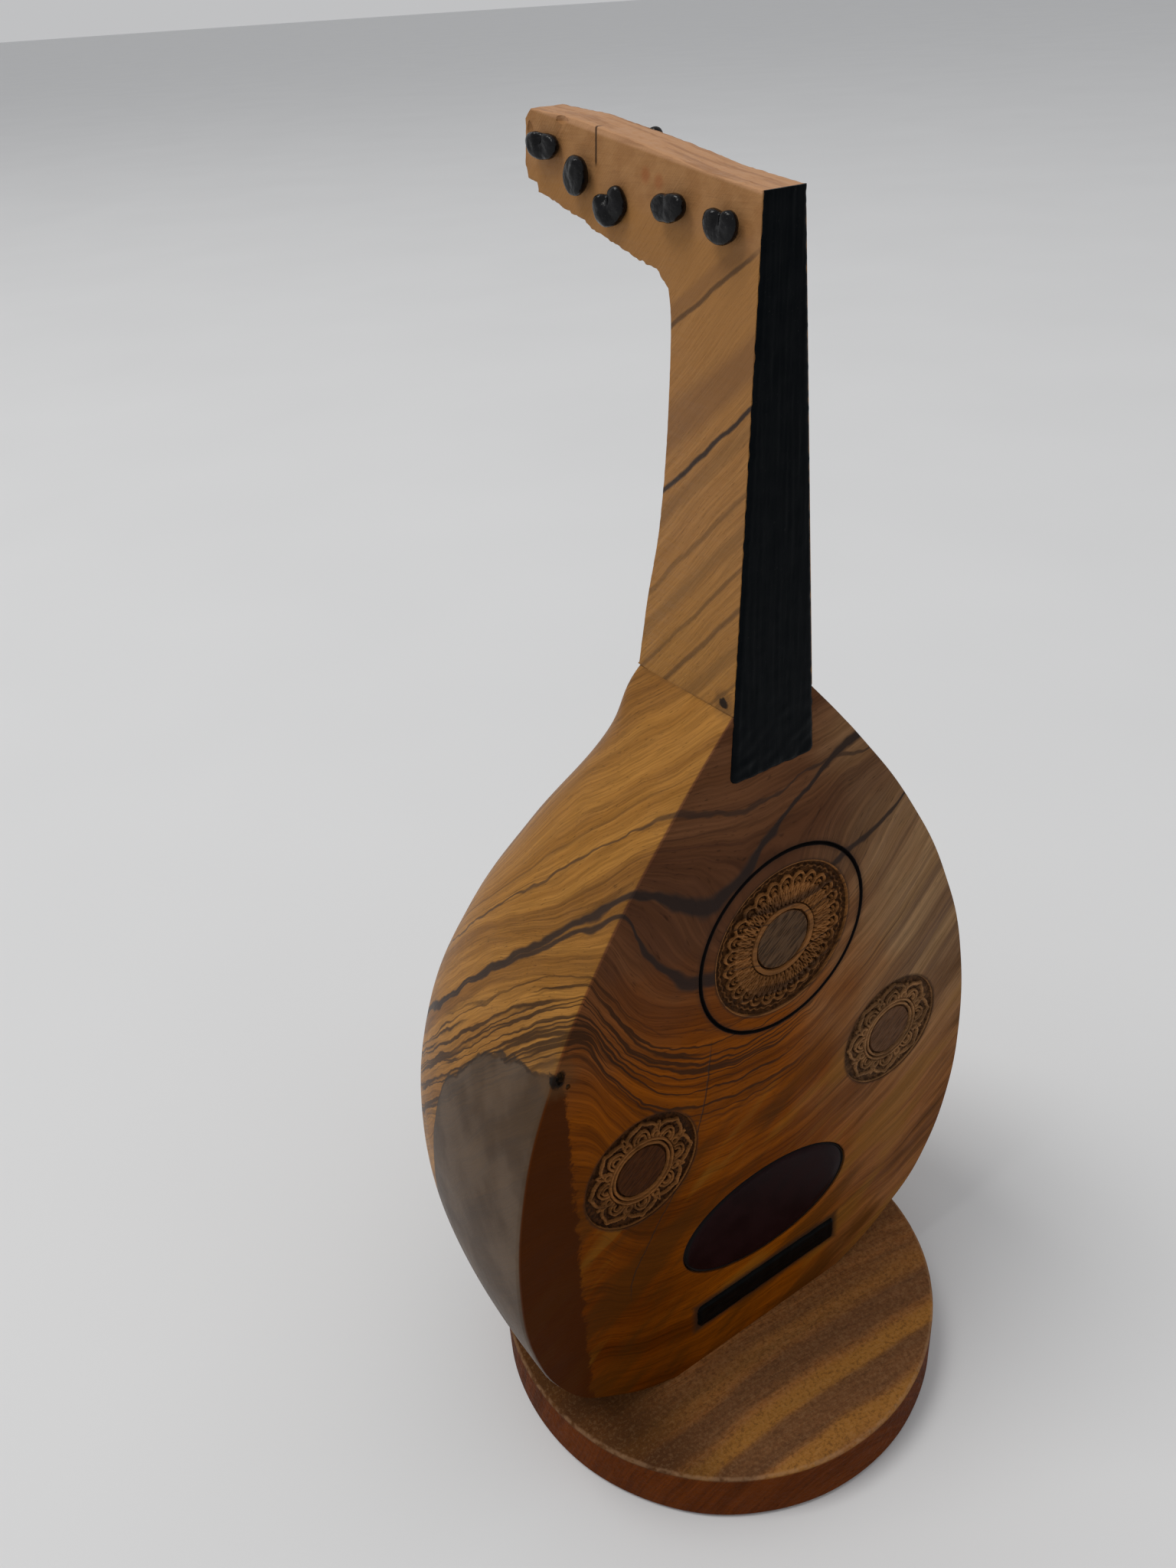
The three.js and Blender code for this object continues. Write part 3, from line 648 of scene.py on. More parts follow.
def body_wood():
    """The block's own figure, its few bold veins, the dark heart on the left, and the burnt work."""
    material, tree, shader, place = bare_material("body wood")
    split = add(tree, "ShaderNodeSeparateXYZ", {0: place})
    x = split.outputs[0]
    deep = calc(tree, "SUBTRACT", split.outputs[1], FRONT_Y)
    up = calc(tree, "SUBTRACT", split.outputs[2], FOOT_TOP)
    slant = calc(tree, "MULTIPLY_ADD", deep, GRAIN_SLOPE, up)
    flame = vein_path(tree, x, FLAME_PATH)
    dip = calc(tree, "MULTIPLY", calc(tree, "SUBTRACT", flame, FLAME_PATH[0][1]), fade(tree, up, 64.0, 84.0, 1.0, 0.4))
    dip = calc(tree, "MULTIPLY", dip, fade(tree, up, 8.0, 46.0, 0.35, 1.0))
    straightened = {0: x, 1: split.outputs[1], 2: calc(tree, "SUBTRACT", split.outputs[2], dip)}
    figure = add(tree, "ShaderNodeGroup", node_tree=OLIVE)
    for key, value in {
        "Lean": (0.0, GRAIN_SLOPE, 1.0), "Bend": 0.0, "Spacing": 2.9, "Wander": 0.75,
        "Veins": 0.45, "Bands": 0.6, "Pale": (0.36, 0.165, 0.034, 1), "Mid": (0.26, 0.112, 0.021, 1),
        "Grey": (0.15, 0.06, 0.014, 1), "Vein colour": (0.05, 0.02, 0.009, 1),
    }.items():
        figure.inputs[key].default_value = value
    tree.links.new(add(tree, "ShaderNodeCombineXYZ", straightened).outputs[0], figure.inputs["Place"])
    wave = calc(tree, "MULTIPLY", calc(tree, "SUBTRACT", speckle(tree, place, 0.24, 2.0, 0.5), 0.5), 2.4)
    swell = speckle(tree, place, 0.12, 2.0)
    veins = None
    slim = calc(tree, "MULTIPLY", fade(tree, deep, 0.0, 5.0, 1.0, 0.5), fade(tree, x, -5.0, 3.0, 1.0, 0.5))
    for path, width, strength in BOLD_VEINS:
        gap = calc(tree, "SUBTRACT", calc(tree, "ADD", slant, wave), vein_path(tree, x, path))
        gap = calc(tree, "ABSOLUTE", gap)
        reach = calc(tree, "MULTIPLY", fade(tree, swell, 0.25, 0.75, 0.55, 1.5), calc(tree, "MULTIPLY", slim, width))
        mask = calc(tree, "DIVIDE", gap, reach)
        mask = calc(tree, "MULTIPLY", fade(tree, mask, 0.35, 1.0, 1.0, 0.0), strength)
        veins = mask if veins is None else calc(tree, "MAXIMUM", veins, mask)
    from_flame = calc(tree, "SUBTRACT", calc(tree, "MULTIPLY_ADD", wave, 0.9, slant), flame)
    parts = {0: calc(tree, "MULTIPLY", from_flame, 0.5), 1: calc(tree, "MULTIPLY", x, 0.012),
             2: calc(tree, "MULTIPLY", calc(tree, "SUBTRACT", deep, up), 0.012)}
    threads = speckle(tree, add(tree, "ShaderNodeCombineXYZ", parts).outputs[0], 1.0, 2.0, 0.6)
    threads = fade(tree, calc(tree, "ABSOLUTE", calc(tree, "SUBTRACT", threads, 0.5)), 0.012, 0.05, 0.85, 0.0)
    bundle = calc(tree, "MULTIPLY", fade(tree, from_flame, -9.0, -5.0), fade(tree, from_flame, 9.0, 5.0))
    bundle = calc(tree, "MULTIPLY", bundle, fade(tree, x, 14.0, 0.0, 0.15, 1.0))
    threads = calc(tree, "MULTIPLY", threads, bundle)
    front = fade(tree, deep, 0.35, 0.1)
    # painted shade: the flat is coloured darker than the bowl, orange-brown low down, redder above, and a painted
    # reflection greys it to the right
    drift = calc(tree, "MULTIPLY", calc(tree, "SUBTRACT", swell, 0.5), 16.0)
    height_share = fade(tree, calc(tree, "ADD", up, drift), 52.0, 76.0)
    right_share = fade(tree, calc(tree, "ADD", x, drift), 2.0, 26.0)
    left_share = calc(tree, "MULTIPLY", fade(tree, x, -3.0, -20.0), fade(tree, up, 50.0, 26.0))
    front_shade_and_reflection = tint(tree, left_share, (0.68, 0.38, 0.045), (0.4, 0.2, 0.014))
    front_shade_and_reflection = tint(tree, height_share, front_shade_and_reflection, (0.42, 0.38, 0.8))
    # painted reflection: a paler, greyer haze towards the right of the flat
    front_shade_and_reflection = tint(tree, calc(tree, "MULTIPLY", right_share, fade(tree, up, 20.0, 55.0, 0.35, 1.0)), front_shade_and_reflection, (0.86, 1.1, 2.6))
    beside_neck = tint(tree, fade(tree, up, 80.0, 96.0, 0.0, 0.8), (1.0, 1.0, 1.0), (1.06, 1.08, 1.2))
    front_shade_and_reflection = tint(tree, front, beside_neck, front_shade_and_reflection)
    colour = tint(tree, 1.0, figure.outputs["Colour"], front_shade_and_reflection, "MULTIPLY")
    smoke = speckle(tree, aslant(tree, place, 0.49, (0.05, 0.3, 0.22)), 1.0, 3.0, 0.5)
    low_front = calc(tree, "MULTIPLY", fade(tree, calc(tree, "ADD", up, drift), 54.0, 36.0), front)
    dusky = calc(tree, "MULTIPLY", fade(tree, smoke, 0.48, 0.64, 0.0, 0.6), low_front)
    colour = tint(tree, dusky, colour, (0.055, 0.02, 0.003))
    glow = calc(tree, "MULTIPLY", fade(tree, smoke, 0.48, 0.36, 0.0, 0.28), low_front)
    colour = tint(tree, glow, colour, (0.25, 0.125, 0.016))
    halo = fade(tree, calc(tree, "ABSOLUTE", wave), 0.0, 1.4, 0.35, 0.0)
    colour = tint(tree, calc(tree, "MULTIPLY", halo, veins), colour, (0.12, 0.06, 0.03))
    colour = tint(tree, threads, colour, (0.026, 0.012, 0.006))
    colour = tint(tree, calc(tree, "MULTIPLY", veins, 0.88), colour, (0.02, 0.015, 0.014))
    heart_edge = curve_of(tree, [(0, 62.5), (5, 61), (10, 59.5), (13, 57), (16, 53), (20, 48), (22, 40), (24, 28), (30, 18), (44, 12)], 100.0,
                          calc(tree, "DIVIDE", deep, 44.0, clamp=True))
    ragged = calc(tree, "MULTIPLY", calc(tree, "SUBTRACT", speckle(tree, place, 0.3, 4.0, 0.6), 0.5), 2.6)
    below = calc(tree, "SUBTRACT", calc(tree, "MULTIPLY", heart_edge, 100.0), calc(tree, "ADD", up, ragged))
    feather = calc(tree, "MULTIPLY", calc(tree, "SUBTRACT", speckle(tree, place, 0.55, 4.0, 0.7), 0.5), 3.4)
    left = calc(tree, "SUBTRACT", -27.6, calc(tree, "ADD", x, calc(tree, "MULTIPLY", feather, front)))
    behind = calc(tree, "SUBTRACT", 1.0, front)
    left = calc(tree, "MAXIMUM", fade(tree, left, -0.25, 0.35), calc(tree, "MULTIPLY", behind, fade(tree, x, 2.0, -6.0)))
    heart = calc(tree, "MULTIPLY", fade(tree, below, -0.1, 0.35), left)
    rind = calc(tree, "MULTIPLY", fade(tree, calc(tree, "ABSOLUTE", below), 0.08, 0.5, 0.85, 0.0), left)
    clouds = speckle(tree, place, 0.14, 3.0)
    heart_colour = tint(tree, fade(tree, clouds, 0.35, 0.65), (0.052, 0.034, 0.022), (0.09, 0.062, 0.042))
    # painted shade: on the flat the dark heart is coloured darker and redder than on the bowl
    heart_colour = tint(tree, front, heart_colour, (0.05, 0.012, 0.0015))
    colour = tint(tree, calc(tree, "MULTIPLY", heart, 0.93), colour, heart_colour)
    colour = tint(tree, calc(tree, "MULTIPLY", rind, behind), colour, (0.03, 0.02, 0.014))
    # the burnt ring, scorched edges and one long drying crack
    turned_place = add(tree, "ShaderNodeVectorRotate", {
        "Vector": place, "Center": (ART_X, 0, ROSETTE_HEIGHT + FOOT_TOP), "Angle": -ART_TURN}, rotation_type="Y_AXIS")
    art = add(tree, "ShaderNodeSeparateXYZ", {0: turned_place.outputs[0]})
    art_x = calc(tree, "SUBTRACT", art.outputs[0], ART_X)
    art_z = calc(tree, "SUBTRACT", art.outputs[2], FOOT_TOP)

    def away(centre_x, centre_z, stretch=1.0):
        dx = calc(tree, "SUBTRACT", art_x, centre_x)
        dz = calc(tree, "MULTIPLY", calc(tree, "SUBTRACT", art_z, centre_z), stretch)
        return calc(tree, "SQRT", calc(tree, "ADD", calc(tree, "MULTIPLY", dx, dx), calc(tree, "MULTIPLY", dz, dz)))

    shiver = calc(tree, "MULTIPLY", calc(tree, "SUBTRACT", speckle(tree, place, 1.2, 3.0), 0.5), 0.35)
    from_ring = calc(tree, "ABSOLUTE", calc(tree, "SUBTRACT", away(0, ROSETTE_HEIGHT), RING_RADIUS))
    ring = fade(tree, calc(tree, "ADD", from_ring, calc(tree, "MULTIPLY", shiver, 0.3)), 0.2, 0.36, 1.0, 0.0)
    scorch = fade(tree, from_ring, 0.3, 0.9, 0.35, 0.0)
    for spot_x, spot_z, radius, stretch in (
        (0, ROSETTE_HEIGHT, ROSETTE_RADIUS, 1.0), (-SMALL_OFFSET, SMALL_HEIGHT, SMALL_RADIUS, 1.0),
        (SMALL_OFFSET, SMALL_HEIGHT, SMALL_RADIUS, 1.0),
        (0, GUARD_HEIGHT, GUARD_HALF_WIDTH, GUARD_HALF_WIDTH / GUARD_HALF_HEIGHT),
    ):
        outside = calc(tree, "SUBTRACT", away(spot_x, spot_z, stretch), radius)
        outside = calc(tree, "ADD", outside, shiver)
        scorch = calc(tree, "MAXIMUM", scorch, fade(tree, outside, 0.02, 0.4, 0.65, 0.0))
    bar_x = calc(tree, "SUBTRACT", calc(tree, "ABSOLUTE", calc(tree, "SUBTRACT", x, BAR_X)), BAR_HALF[0])
    bar_z = calc(tree, "SUBTRACT", calc(tree, "ABSOLUTE", calc(tree, "SUBTRACT", up, BAR_HEIGHT)), BAR_HALF[1])
    beyond = calc(tree, "ADD", calc(tree, "MAXIMUM", bar_x, bar_z), shiver)
    scorch = calc(tree, "MAXIMUM", scorch, fade(tree, beyond, 0.0, 1.3, 0.9, 0.0))
    colour = tint(tree, calc(tree, "MULTIPLY", scorch, front), colour, (0.035, 0.018, 0.01))
    colour = tint(tree, calc(tree, "MULTIPLY", ring, fade(tree, deep, 1.0, 0.8)), colour, (0.006, 0.005, 0.005))
    crack_x = curve_of(tree, [(0, 27), (22, 19), (30, 22.5), (36, 26.5), (44, 30), (54, 31.7), (70, 32)], 40.0,
                       calc(tree, "DIVIDE", up, 70.0, clamp=True))
    crack_gap = calc(tree, "SUBTRACT", x, calc(tree, "MULTIPLY_ADD", crack_x, 40.0, -40.0))
    crack_gap = calc(tree, "ABSOLUTE", calc(tree, "ADD", crack_gap, shiver))
    crack = calc(tree, "MULTIPLY", fade(tree, crack_gap, 0.04, 0.2, 1.0, 0.0), front)
    crack = calc(tree, "MULTIPLY", crack, fade(tree, up, 20.0, 25.0))
    crack = calc(tree, "MULTIPLY", crack, fade(tree, up, 57.0, 52.0))
    colour = tint(tree, calc(tree, "MULTIPLY", crack, 0.7), colour, (0.03, 0.018, 0.012))
    glue = fade(tree, up, BODY_HEIGHT - 0.3, BODY_HEIGHT - 0.08)
    colour = tint(tree, calc(tree, "MULTIPLY", glue, 0.14), colour, (0.06, 0.035, 0.02))
    colour = knotted(tree, place, colour, RIDGE_KNOT, 0.9)
    colour = knotted(tree, place, colour, FALLEN_KNOT, 1.5)
    tree.links.new(colour, shader.inputs["Base Color"])
    smear = speckle(tree, place, 0.4, 3.0)
    tree.links.new(fade(tree, smear, 0.3, 0.7, 0.33, 0.47), shader.inputs["Roughness"])
    shader.inputs["Specular IOR Level"].default_value = 0.015
    tree.links.new(calc(tree, "MULTIPLY", behind, fade(tree, smear, 0.3, 0.7, 0.1, 0.18)), shader.inputs["Coat Weight"])
    shader.inputs["Coat Roughness"].default_value = 0.2
    height = calc(tree, "SUBTRACT", figure.outputs["Height"], calc(tree, "MULTIPLY", veins, 0.25))
    height = calc(tree, "SUBTRACT", height, calc(tree, "MULTIPLY", crack, 1.5))
    bump(tree, shader, height, 0.22, 0.00022)
    return material


BODY_WOOD = body_wood()
body = mend(grown("carved_body", bowl_tree(), {"Wood": BODY_WOOD}))
body = cut_away(body, place_mesh("sinkings", *body_cutters(), BODY_WOOD))
bore = [(0, -3), (1.85, -3), (1.85, 14), (0, 16)]
pilot_points, pilot_faces = turned([(r, z + FOOT_TOP) for r, z in bore], 32, (0, SCREW_Y))
dowel_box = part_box("neck_dowel")
dowel_reach = dowel_box[1].x / MM + 0.05
dowel_foot = dowel_box[0].z / MM - 0.3
dowel_bore = [(0, dowel_foot), (dowel_reach, dowel_foot), (dowel_reach, FOOT_TOP + 99), (0, FOOT_TOP + 99)]
dowel_middle = (0, (dowel_box[0].y + dowel_box[1].y) / 2 / MM)
holes = joined([(pilot_points, pilot_faces), turned(dowel_bore, 28, dowel_middle)])
body = cut_away(body, place_mesh("pilot", *holes, BODY_WOOD))
mend(body)
finish_surface(body, BODY_WOOD, 35)
fix_to(body, "oud", ["body"])

# ---------------------------------------------------------------------------
# Rosettes
# Burnt and cut into the front: tracery left standing in a dark scorched ground.
# One segment of each is drawn, then repeated round its centre.
# ---------------------------------------------------------------------------
GROUND_DEPTH = 0.5
LINE_HALF = 0.13


def ridge(distance, half=LINE_HALF, soft=0.09):
    """1 on a line, falling softly to 0 at its sides."""
    return min(1.0, max(0.0, (half + soft - abs(distance)) / soft))


def lace_relief(radius, share):
    """Main rosette: hooped petals outside, combed strokes inside, and a smooth hub. share is -0.5 to 0.5."""
    arch = 7.35 + 1.15 * math.sqrt(max(0.0, 1 - (2.15 * share) ** 2))
    hoop = ridge(radius - arch, 0.14) if abs(share) < 0.465 else 0.0
    inner = 7.3 + 0.5 * math.sqrt(max(0.0, 1 - (4.6 * share) ** 2))
    hoop = max(hoop, ridge(radius - inner, 0.1) if abs(share) < 0.21 else 0.0)
    tooth = ridge((abs(share) - 0.5) * radius * 0.24, 0.1) if 6.2 < radius < 8.0 else 0.0
    wiggle = 0.05 * math.sin(radius * 4.2)
    stroke = ridge((abs(abs(share) - 0.25) - 0.08 + wiggle) * radius * 0.24, 0.07) if 4.7 < radius < 7.2 else 0.0
    comb = ridge(abs(share) * radius * 0.24, 0.09) if 5.2 < radius < 7.35 else 0.0
    collar = 1.0 if 3.95 < radius < 4.55 else 0.0
    hub = 0.72 if radius < 3.7 else 0.0
    edge = min(1.0, max(0.0, (radius - 9.72) / 0.16))
    outer = ridge(radius - 9.15 - 0.1 * math.cos(share * 4 * math.pi), 0.12) * 0.45
    return max(hoop, tooth, stroke, comb, collar, hub, edge, outer)


def petal_relief(radius, share):
    """Small rosettes: pointed petals with hoops inside them, a double ring and a plain hub."""
    tip = 5.6 + 1.3 * max(0.0, 1 - abs(2 * share) ** 2.2) ** 0.6 + 0.35 * math.exp(-(share / 0.07) ** 2)
    petal = ridge(radius - tip, 0.16)
    filled = 0.34 if 4.7 < radius < tip else 0.0
    across = share * radius * math.pi / 4
    hoop = math.hypot(across, radius - 5.0)
    rim = ridge(hoop - 1.05, 0.12) if radius > 4.7 else 0.0
    eye = ridge(hoop - 0.55, 0.1) if radius > 4.75 else 0.0
    carved = 0.0 if 0.67 < hoop < 0.92 or hoop < 0.42 or 1.2 < hoop < 1.42 else filled
    leaf_across = (abs(share) - 0.5) * radius * math.pi / 4
    leaf = ridge(math.hypot(leaf_across, radius - 5.1) - 0.45, 0.12) if radius > 4.7 else 0.0
    outer_leaf = ridge(abs(leaf_across) - 0.32 * max(0.0, 6.9 - radius), 0.1) * 0.8 if 5.5 < radius < 6.9 else 0.0
    rings = max(ridge(radius - 4.42, 0.15), ridge(radius - 3.85, 0.13))
    hub = 0.8 if radius < 3.45 else 0.0
    edge = 0.8 * min(1.0, max(0.0, (radius - 7.82) / 0.1))
    return max(petal, carved, rim, eye, leaf, outer_leaf, rings, hub, edge)


def segment(relief, radius, repeats, columns, rows):
    """One closed wedge of a carved disc, in X and Z, its face towards -Y. The relief is also kept for colour."""
    points, faces, shares = [], [], []
    step = 2 * math.pi / repeats
    for i in range(columns + 1):
        share = i / columns - 0.5
        for k in range(rows + 1):
            out = radius * k / rows
            rise = relief(out, share)
            angle = share * step
            points.append((out * math.sin(angle), GROUND_DEPTH * (1 - rise), out * math.cos(angle)))
            shares.append(rise)
        for out in (radius, 0.0):
            angle = share * step
            points.append((out * math.sin(angle), INLAY_DEPTH - 0.02, out * math.cos(angle)))
            shares.append(0.0)
    high = rows + 3
    for i in range(columns):
        for k in range(high - 1):
            faces.append((i * high + k, (i + 1) * high + k, (i + 1) * high + k + 1, i * high + k + 1))
    mesh = bpy.data.meshes.new("segment")
    mesh.from_pydata([Vector(p) * MM for p in points], [], faces)
    kept = mesh.attributes.new("relief", "FLOAT", "POINT")
    kept.data.foreach_set("value", shares)
    return mesh


def repeat_tree():
    """Repeats a wedge round its centre, welds the seams and roughens the hand-burnt face."""
    tree, given, result = new_group(
        "carved round",
        {
            "Geometry": ("NodeSocketGeometry", None),
            "Repeats": ("NodeSocketInt", 8),
            "Unevenness": ("NodeSocketFloat", 0.00008),
            "Burnt wood": ("NodeSocketMaterial", None),
        },
        {"Geometry": "NodeSocketGeometry"},
        "GeometryNodeTree",
    )
    spots = add(tree, "GeometryNodePoints", {"Count": given.outputs["Repeats"]})
    index = add(tree, "GeometryNodeInputIndex").outputs[0]
    share = calc(tree, "DIVIDE", index, given.outputs["Repeats"])
    turn = add(tree, "ShaderNodeCombineXYZ", {1: calc(tree, "MULTIPLY", share, 2 * math.pi)}).outputs[0]
    turn = add(tree, "FunctionNodeEulerToRotation", {0: turn}).outputs[0]
    placed = add(tree, "GeometryNodeInstanceOnPoints", {
        "Points": spots.outputs[0], "Instance": given.outputs["Geometry"], "Rotation": turn})
    real = add(tree, "GeometryNodeRealizeInstances", {0: placed.outputs[0]})
    welded = add(tree, "GeometryNodeMergeByDistance", {"Geometry": real.outputs[0], "Distance": 4e-6})
    where = add(tree, "GeometryNodeInputPosition").outputs[0]
    slow = add(tree, "ShaderNodeTexNoise", {"Vector": where, "Scale": 900.0, "Detail": 2.0}).outputs["Color"]
    centred = add(tree, "ShaderNodeVectorMath", {0: slow, 1: (0.5, 0.5, 0.5)}, operation="SUBTRACT").outputs[0]
    length = add(tree, "ShaderNodeVectorMath", {0: where}, operation="LENGTH").outputs["Value"]
    inside = add(tree, "ShaderNodeMapRange", {0: length, 1: 0.0078, 2: 0.0072}).outputs[0]
    wide = add(tree, "ShaderNodeMapRange", {0: length, 1: 0.0002, 2: 0.0008}).outputs[0]
    amount = calc(tree, "MULTIPLY", calc(tree, "MULTIPLY", inside, wide), given.outputs["Unevenness"])
    offset = add(tree, "ShaderNodeVectorMath", {0: centred, "Scale": calc(tree, "MULTIPLY", amount, 2.0)}, operation="SCALE")
    moved = add(tree, "GeometryNodeSetPosition", {"Geometry": welded.outputs[0], "Offset": offset.outputs[0]})
    dressed = add(tree, "GeometryNodeSetMaterial", {
        "Geometry": moved.outputs[0], "Material": given.outputs["Burnt wood"]})
    tree.links.new(dressed.outputs[0], result.inputs[0])
    return tree


def burnt_wood(name, ground, standing, hub_shades, hub_radius, centre):
    """Scorched wood: charred where it is cut away, the body's own figure where it stands."""
    material, tree, shader, place = bare_material(name)
    figure = add(tree, "ShaderNodeGroup", node_tree=OLIVE)
    for key, value in {
        "Lean": (0.0, GRAIN_SLOPE, 1.0), "Bend": 0.021, "Bend centre": 3.0, "Bend reach": 24.0, "Spacing": 2.9, "Wander": 0.7,
        "Veins": 0.8, "Bands": 0.75, "Pale": (*standing, 1), "Mid": tuple(c * 0.7 for c in standing) + (1,),
        "Grey": tuple(c * 0.45 for c in standing) + (1,), "Vein colour": (0.02, 0.014, 0.012, 1),
    }.items():
        figure.inputs[key].default_value = value
    tree.links.new(place, figure.inputs["Place"])
    relief = add(tree, "ShaderNodeAttribute", attribute_name="relief", attribute_type="GEOMETRY").outputs["Fac"]
    char = speckle(tree, place, 1.9, 4.0, 0.7)
    soot = speckle(tree, place, 0.35, 2.0)
    stands = fade(tree, calc(tree, "ADD", relief, calc(tree, "MULTIPLY", calc(tree, "SUBTRACT", char, 0.5), 0.5)), 0.32, 0.62)
    burnt = tint(tree, fade(tree, char, 0.4, 0.66), ground, tuple(c * 3.0 for c in ground))
    colour = tint(tree, stands, burnt, figure.outputs["Colour"])
    colour = tint(tree, fade(tree, soot, 0.5, 0.72, 0.0, 0.5), colour, tuple(c * 1.6 for c in ground))
    from_middle = add(tree, "ShaderNodeVectorMath", {0: place, 1: centre}, operation="DISTANCE").outputs["Value"]
    hub = fade(tree, from_middle, hub_radius + 0.1, hub_radius - 0.2)
    hatch = speckle(tree, aslant(tree, place, 0.66, (0.5, 1.0, 5.0)), 1.0, 2.0)
    hub_colour = tint(tree, fade(tree, hatch, 0.36, 0.6), *hub_shades)
    colour = tint(tree, calc(tree, "MULTIPLY", hub, 0.95), colour, hub_colour)
    tree.links.new(colour, shader.inputs["Base Color"])
    tree.links.new(fade(tree, char, 0.3, 0.7, 0.45, 0.75), shader.inputs["Roughness"])
    shader.inputs["Specular IOR Level"].default_value = 0.03
    height = calc(tree, "ADD", char, calc(tree, "MULTIPLY", calc(tree, "MULTIPLY", hatch, hub), 0.8))
    bump(tree, shader, height, 0.4, 0.00018)
    return material


ROUND = repeat_tree()
for label, across, height, radius, relief, repeats, columns, rows, ground, standing, hub_shades, hub_radius in (
    ("rosette_main", 0, ROSETTE_HEIGHT, ROSETTE_RADIUS, lace_relief, 26, 20, 90, (0.03, 0.012, 0.004), (0.29, 0.12, 0.036),
     ((0.034, 0.02, 0.012), (0.1, 0.056, 0.03)), 3.75),
    ("rosette_left", -SMALL_OFFSET, SMALL_HEIGHT, SMALL_RADIUS, petal_relief, 8, 56, 76, (0.024, 0.009, 0.003), (0.25, 0.1, 0.028),
     ((0.026, 0.008, 0.003), (0.055, 0.017, 0.005)), 3.5),
    # the right rosette is coloured paler and greyer than the left one: painted reflection, like the haze painted on the
    # right of the front
    ("rosette_right", SMALL_OFFSET, SMALL_HEIGHT, SMALL_RADIUS, petal_relief, 8, 56, 76, (0.045, 0.022, 0.01), (0.3, 0.15, 0.062),
     ((0.06, 0.028, 0.014), (0.115, 0.055, 0.028)), 3.5),
):
    x, z = art_place(across, height)
    wood = burnt_wood(label.replace("_", " "), ground, standing, hub_shades, hub_radius, (x, FRONT_Y, z + FOOT_TOP))
    wedge = segment(relief, radius - 0.015, repeats, columns, rows)
    rosette = grown(label, ROUND, {"Repeats": repeats, "Burnt wood": wood}, wedge)
    rosette.data.transform(art_matrix(across, height))
    mend(rosette)
    finish_surface(rosette, wood, 60)
    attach(rosette, "oud")

# ---------------------------------------------------------------------------
# Oval guard
# A thin plate let into the front below the rosette and lacquered a dark plum.
# Its edge is scorched black, and the lacquer has settled smooth with a few specks in it.
# ---------------------------------------------------------------------------


def guard_lacquer():
    material, tree, shader, place = bare_material("guard lacquer")
    cloud = speckle(tree, place, 0.3, 3.0)
    grit = speckle(tree, place, 3.2, 3.0, 0.7)
    colour = tint(tree, fade(tree, cloud, 0.3, 0.7), (0.008, 0.002, 0.0026), (0.013, 0.0035, 0.004))
    colour = tint(tree, fade(tree, grit, 0.6, 0.72, 0.0, 0.5), colour, (0.03, 0.016, 0.015))
    x, z = art_place(0, GUARD_HEIGHT)
    centred = add(tree, "ShaderNodeVectorMath", {0: place, 1: (x, FRONT_Y, z + FOOT_TOP)}, operation="SUBTRACT")
    squeezed = add(tree, "ShaderNodeVectorMath", {
        0: centred.outputs[0], 1: (1 / GUARD_HALF_WIDTH, 0, 1 / GUARD_HALF_HEIGHT)}, operation="MULTIPLY")
    reach = add(tree, "ShaderNodeVectorMath", {0: squeezed.outputs[0]}, operation="LENGTH").outputs["Value"]
    reach = calc(tree, "ADD", reach, calc(tree, "MULTIPLY", calc(tree, "SUBTRACT", cloud, 0.5), 0.03))
    colour = tint(tree, fade(tree, reach, 0.935, 0.965), colour, (0.008, 0.006, 0.006))
    tree.links.new(colour, shader.inputs["Base Color"])
    tree.links.new(fade(tree, cloud, 0.3, 0.7, 0.3, 0.42), shader.inputs["Roughness"])
    shader.inputs["Specular IOR Level"].default_value = 0.03
    bump(tree, shader, grit, 0.12, 0.0001)
    return material


def make_guard():
    """A shallow domed plate: rings of the oval from its centre out over a rounded edge to the back."""
    steps = 160
    face = [(0.0, -0.02), (0.3, -0.015), (0.6, -0.01), (0.85, 0.0), (0.955, 0.02), (0.972, 0.16), (0.985, 0.05), (0.996, 0.12)]
    rings = face + [(1.0, 0.3), (1.0, 1.05), (0.0, 1.05)]
    matrix = art_matrix(0, GUARD_HEIGHT)
    points, faces = [], []
    for i in range(steps):
        angle = 2 * math.pi * i / steps
        for share, deep in rings:
            wave = 0.02 * noise.noise(Vector((math.cos(angle) * share * 3, math.sin(angle) * share * 2, 4.0)))
            spot = Vector((
                share * GUARD_HALF_WIDTH * math.cos(angle), deep + wave * (share < 0.9), share * GUARD_HALF_HEIGHT * math.sin(angle)))
            points.append(matrix @ (spot * MM) / MM)
    high = len(rings)
    for i in range(steps):
        j = (i + 1) % steps
        for k in range(high - 1):
            faces.append((i * high + k, j * high + k, j * high + k + 1, i * high + k + 1))
    return place_mesh("oval_guard", points, faces, guard_lacquer(), 50)


fix_to(make_guard(), "oud", ["pick_guard"])

# ---------------------------------------------------------------------------
# Bridge bar
# A low straight bar near the foot, painted black with a thick brush.
# Paint has rounded its edges and pooled a little at the ends.
# ---------------------------------------------------------------------------


